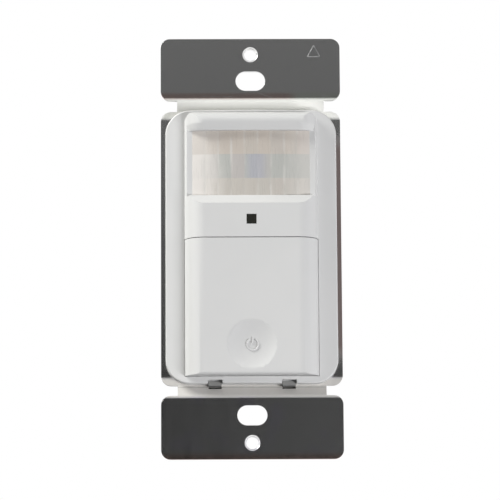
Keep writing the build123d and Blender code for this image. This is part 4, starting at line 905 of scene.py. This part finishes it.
for text, side, level in mouldedMarks["numbers"]:
    raisedNumber(text, side, level)
work = bmesh.new()
halfGauge, halfTall = mouldedMarks["gauge"] / 2 * mm, mouldedMarks["gaugeHeight"] / 2 * mm
backFace = high.y + (mouldedMarks["lift"] - mouldedMarks["stroke"]) * mm
corners = ((-1, -1), (1, -1), (1, 1), (-1, 1))
corners = [Vector((x * halfGauge, backFace, z * halfTall)) for x, z in corners]
strokeOutline(work, corners, mouldedMarks["stroke"] * mm)
pieceFrom(work, "stripGauge", "switch_body", housingPlastic)
print("signs made")

# Camera at the photograph's angle
photoCamera = {
    "place": (-0.012319, -0.705943, -0.115963), "forward": (0.016779, 0.986778, 0.161208),
    "up": (0.003409, -0.161286, 0.986902), "lens": 209.0,
}
forward, up = Vector(photoCamera["forward"]).normalized(), Vector(photoCamera["up"]).normalized()
right = forward.cross(up).normalized()
camera = inScene("photoCamera", bpy.data.cameras.new("photoCamera"))
camera.data.lens = photoCamera["lens"]
camera.data.sensor_width = 36
camera.data.clip_start, camera.data.clip_end = 0.01, 20
turned = Matrix((right, up, -forward)).transposed().to_4x4()
camera.matrix_world = Matrix.Translation(photoCamera["place"]) @ turned
bpy.context.scene.camera = camera

# Studio: pale floor far below, a dim card behind the camera for the steel, a key and a fill lamp
studio = {
    "above": 0.17, "below": 0.02, "floor": 0.95, "floorHalf": 3, "floorGlow": 0.42,
    "cardTop": 0.130, "cardLeft": 0.009, "cardRight": 0.050, "cardTurn": (-0.02, 0.04),
    "cardRise": (0.09, 0.30), "cardHalf": 0.5, "cardPlace": -1.2, "cardHeight": (-0.15, 0.62),
    "key": {"place": (-0.762, -0.195, 0.617), "size": 0.45, "power": 14.0, "colour": (1.0, 1.0, 0.965)},
    "fill": {"place": (0.488, -0.565, -0.288), "size": 0.35, "power": 5.7, "colour": (0.99, 0.99, 1.0)},
}


def addLamp(name, looks):
    lamp = bpy.data.lights.new(name, "AREA")
    lamp.shape, lamp.size = "SQUARE", looks["size"]
    lamp.energy, lamp.color = looks["power"], looks["colour"]
    holder = inScene(name, lamp)
    holder.location = looks["place"]
    holder.rotation_euler = (-Vector(looks["place"])).to_track_quat("-Z", "Y").to_euler()
    return holder


def addSheet(name, corners, material):
    mesh = bpy.data.meshes.new(name)
    mesh.from_pydata(corners, [], [(0, 1, 2, 3)])
    mesh.materials.append(material)
    sheet = inScene(name, mesh)
    return sheet


# The card's glow grows to the right and towards its top
def cardFinish(looks):
    material = bpy.data.materials.new("dimCard")
    material.use_nodes = True
    tree = material.node_tree
    tree.nodes.clear()
    place = parted(tree, addNode(tree, "ShaderNodeTexCoord").outputs["Object"])
    lower = spread(tree, place["X"], *looks["cardTurn"], looks["cardLeft"], looks["cardRight"])
    rise = spread(tree, place["Z"], *looks["cardRise"], 0, 1, smooth=True)
    gain = times(tree, rise, minus(tree, looks["cardTop"], lower))
    glow = addNode(tree, "ShaderNodeEmission", {"Color": (1, 1, 1, 1)})
    tree.links.new(mathNode(tree, "ADD", lower, gain), glow.inputs["Strength"])
    output = addNode(tree, "ShaderNodeOutputMaterial")
    tree.links.new(glow.outputs[0], output.inputs["Surface"])
    return material


addLamp("keyLamp", studio["key"])
fill = addLamp("fillLamp", studio["fill"])
fill.visible_glossy = False
paleFloor = grainFinish("paleFloor", {
    "colour": (0.90, 0.90, 0.90), "second": (0.88, 0.88, 0.88), "patch": 300,
    "rough": (0.7, 0.8), "grain": 4, "depth": 0.05,
})
floorShader = paleFloor.node_tree.nodes["Principled BSDF"]
floorShader.inputs["Emission Color"].default_value = (1, 1, 1, 1)
floorShader.inputs["Emission Strength"].default_value = studio["floorGlow"]
half, floorLevel = studio["floorHalf"], -studio["floor"]
corners = ((-half, -half), (half, -half), (half, half), (-half, half))
floor = addSheet("floor", [(x, y, floorLevel) for x, y in corners], paleFloor)
half, (low, high) = studio["cardHalf"], studio["cardHeight"]
corners = ((-half, low), (half, low), (half, high), (-half, high))
card = addSheet("dimCard", [(x, studio["cardPlace"], z) for x, z in corners], cardFinish(studio))
card.visible_camera = False
card.visible_diffuse = False
card.visible_shadow = False
floor.visible_diffuse = False
floor.visible_glossy = False

# White world for the camera and the first mirrorings, dim from below for all other light
world = bpy.data.worlds.new("studio")
bpy.context.scene.world = world
world.use_nodes = True
tree = world.node_tree
seen = addNode(tree, "ShaderNodeLightPath")
mirrored = mathNode(tree, "LESS_THAN", seen.outputs["Diffuse Depth"], 0.5)
mirrored = times(tree, mirrored, seen.outputs["Is Glossy Ray"])
white = larger(tree, seen.outputs["Is Camera Ray"], mirrored)
white = larger(tree, white, seen.outputs["Is Transmission Ray"])
upward = parted(tree, addNode(tree, "ShaderNodeTexCoord").outputs["Generated"])["Z"]
soft = spread(tree, upward, -1, 1, studio["below"], studio["above"])
level = mathNode(tree, "MULTIPLY_ADD", white, minus(tree, 1.0, soft), soft)
tree.links.new(level, tree.nodes["Background"].inputs["Strength"])
tree.nodes["Background"].inputs["Color"].default_value = (1, 1, 1, 1)
bpy.context.scene.view_settings.view_transform = "Standard"
print("camera and studio set")
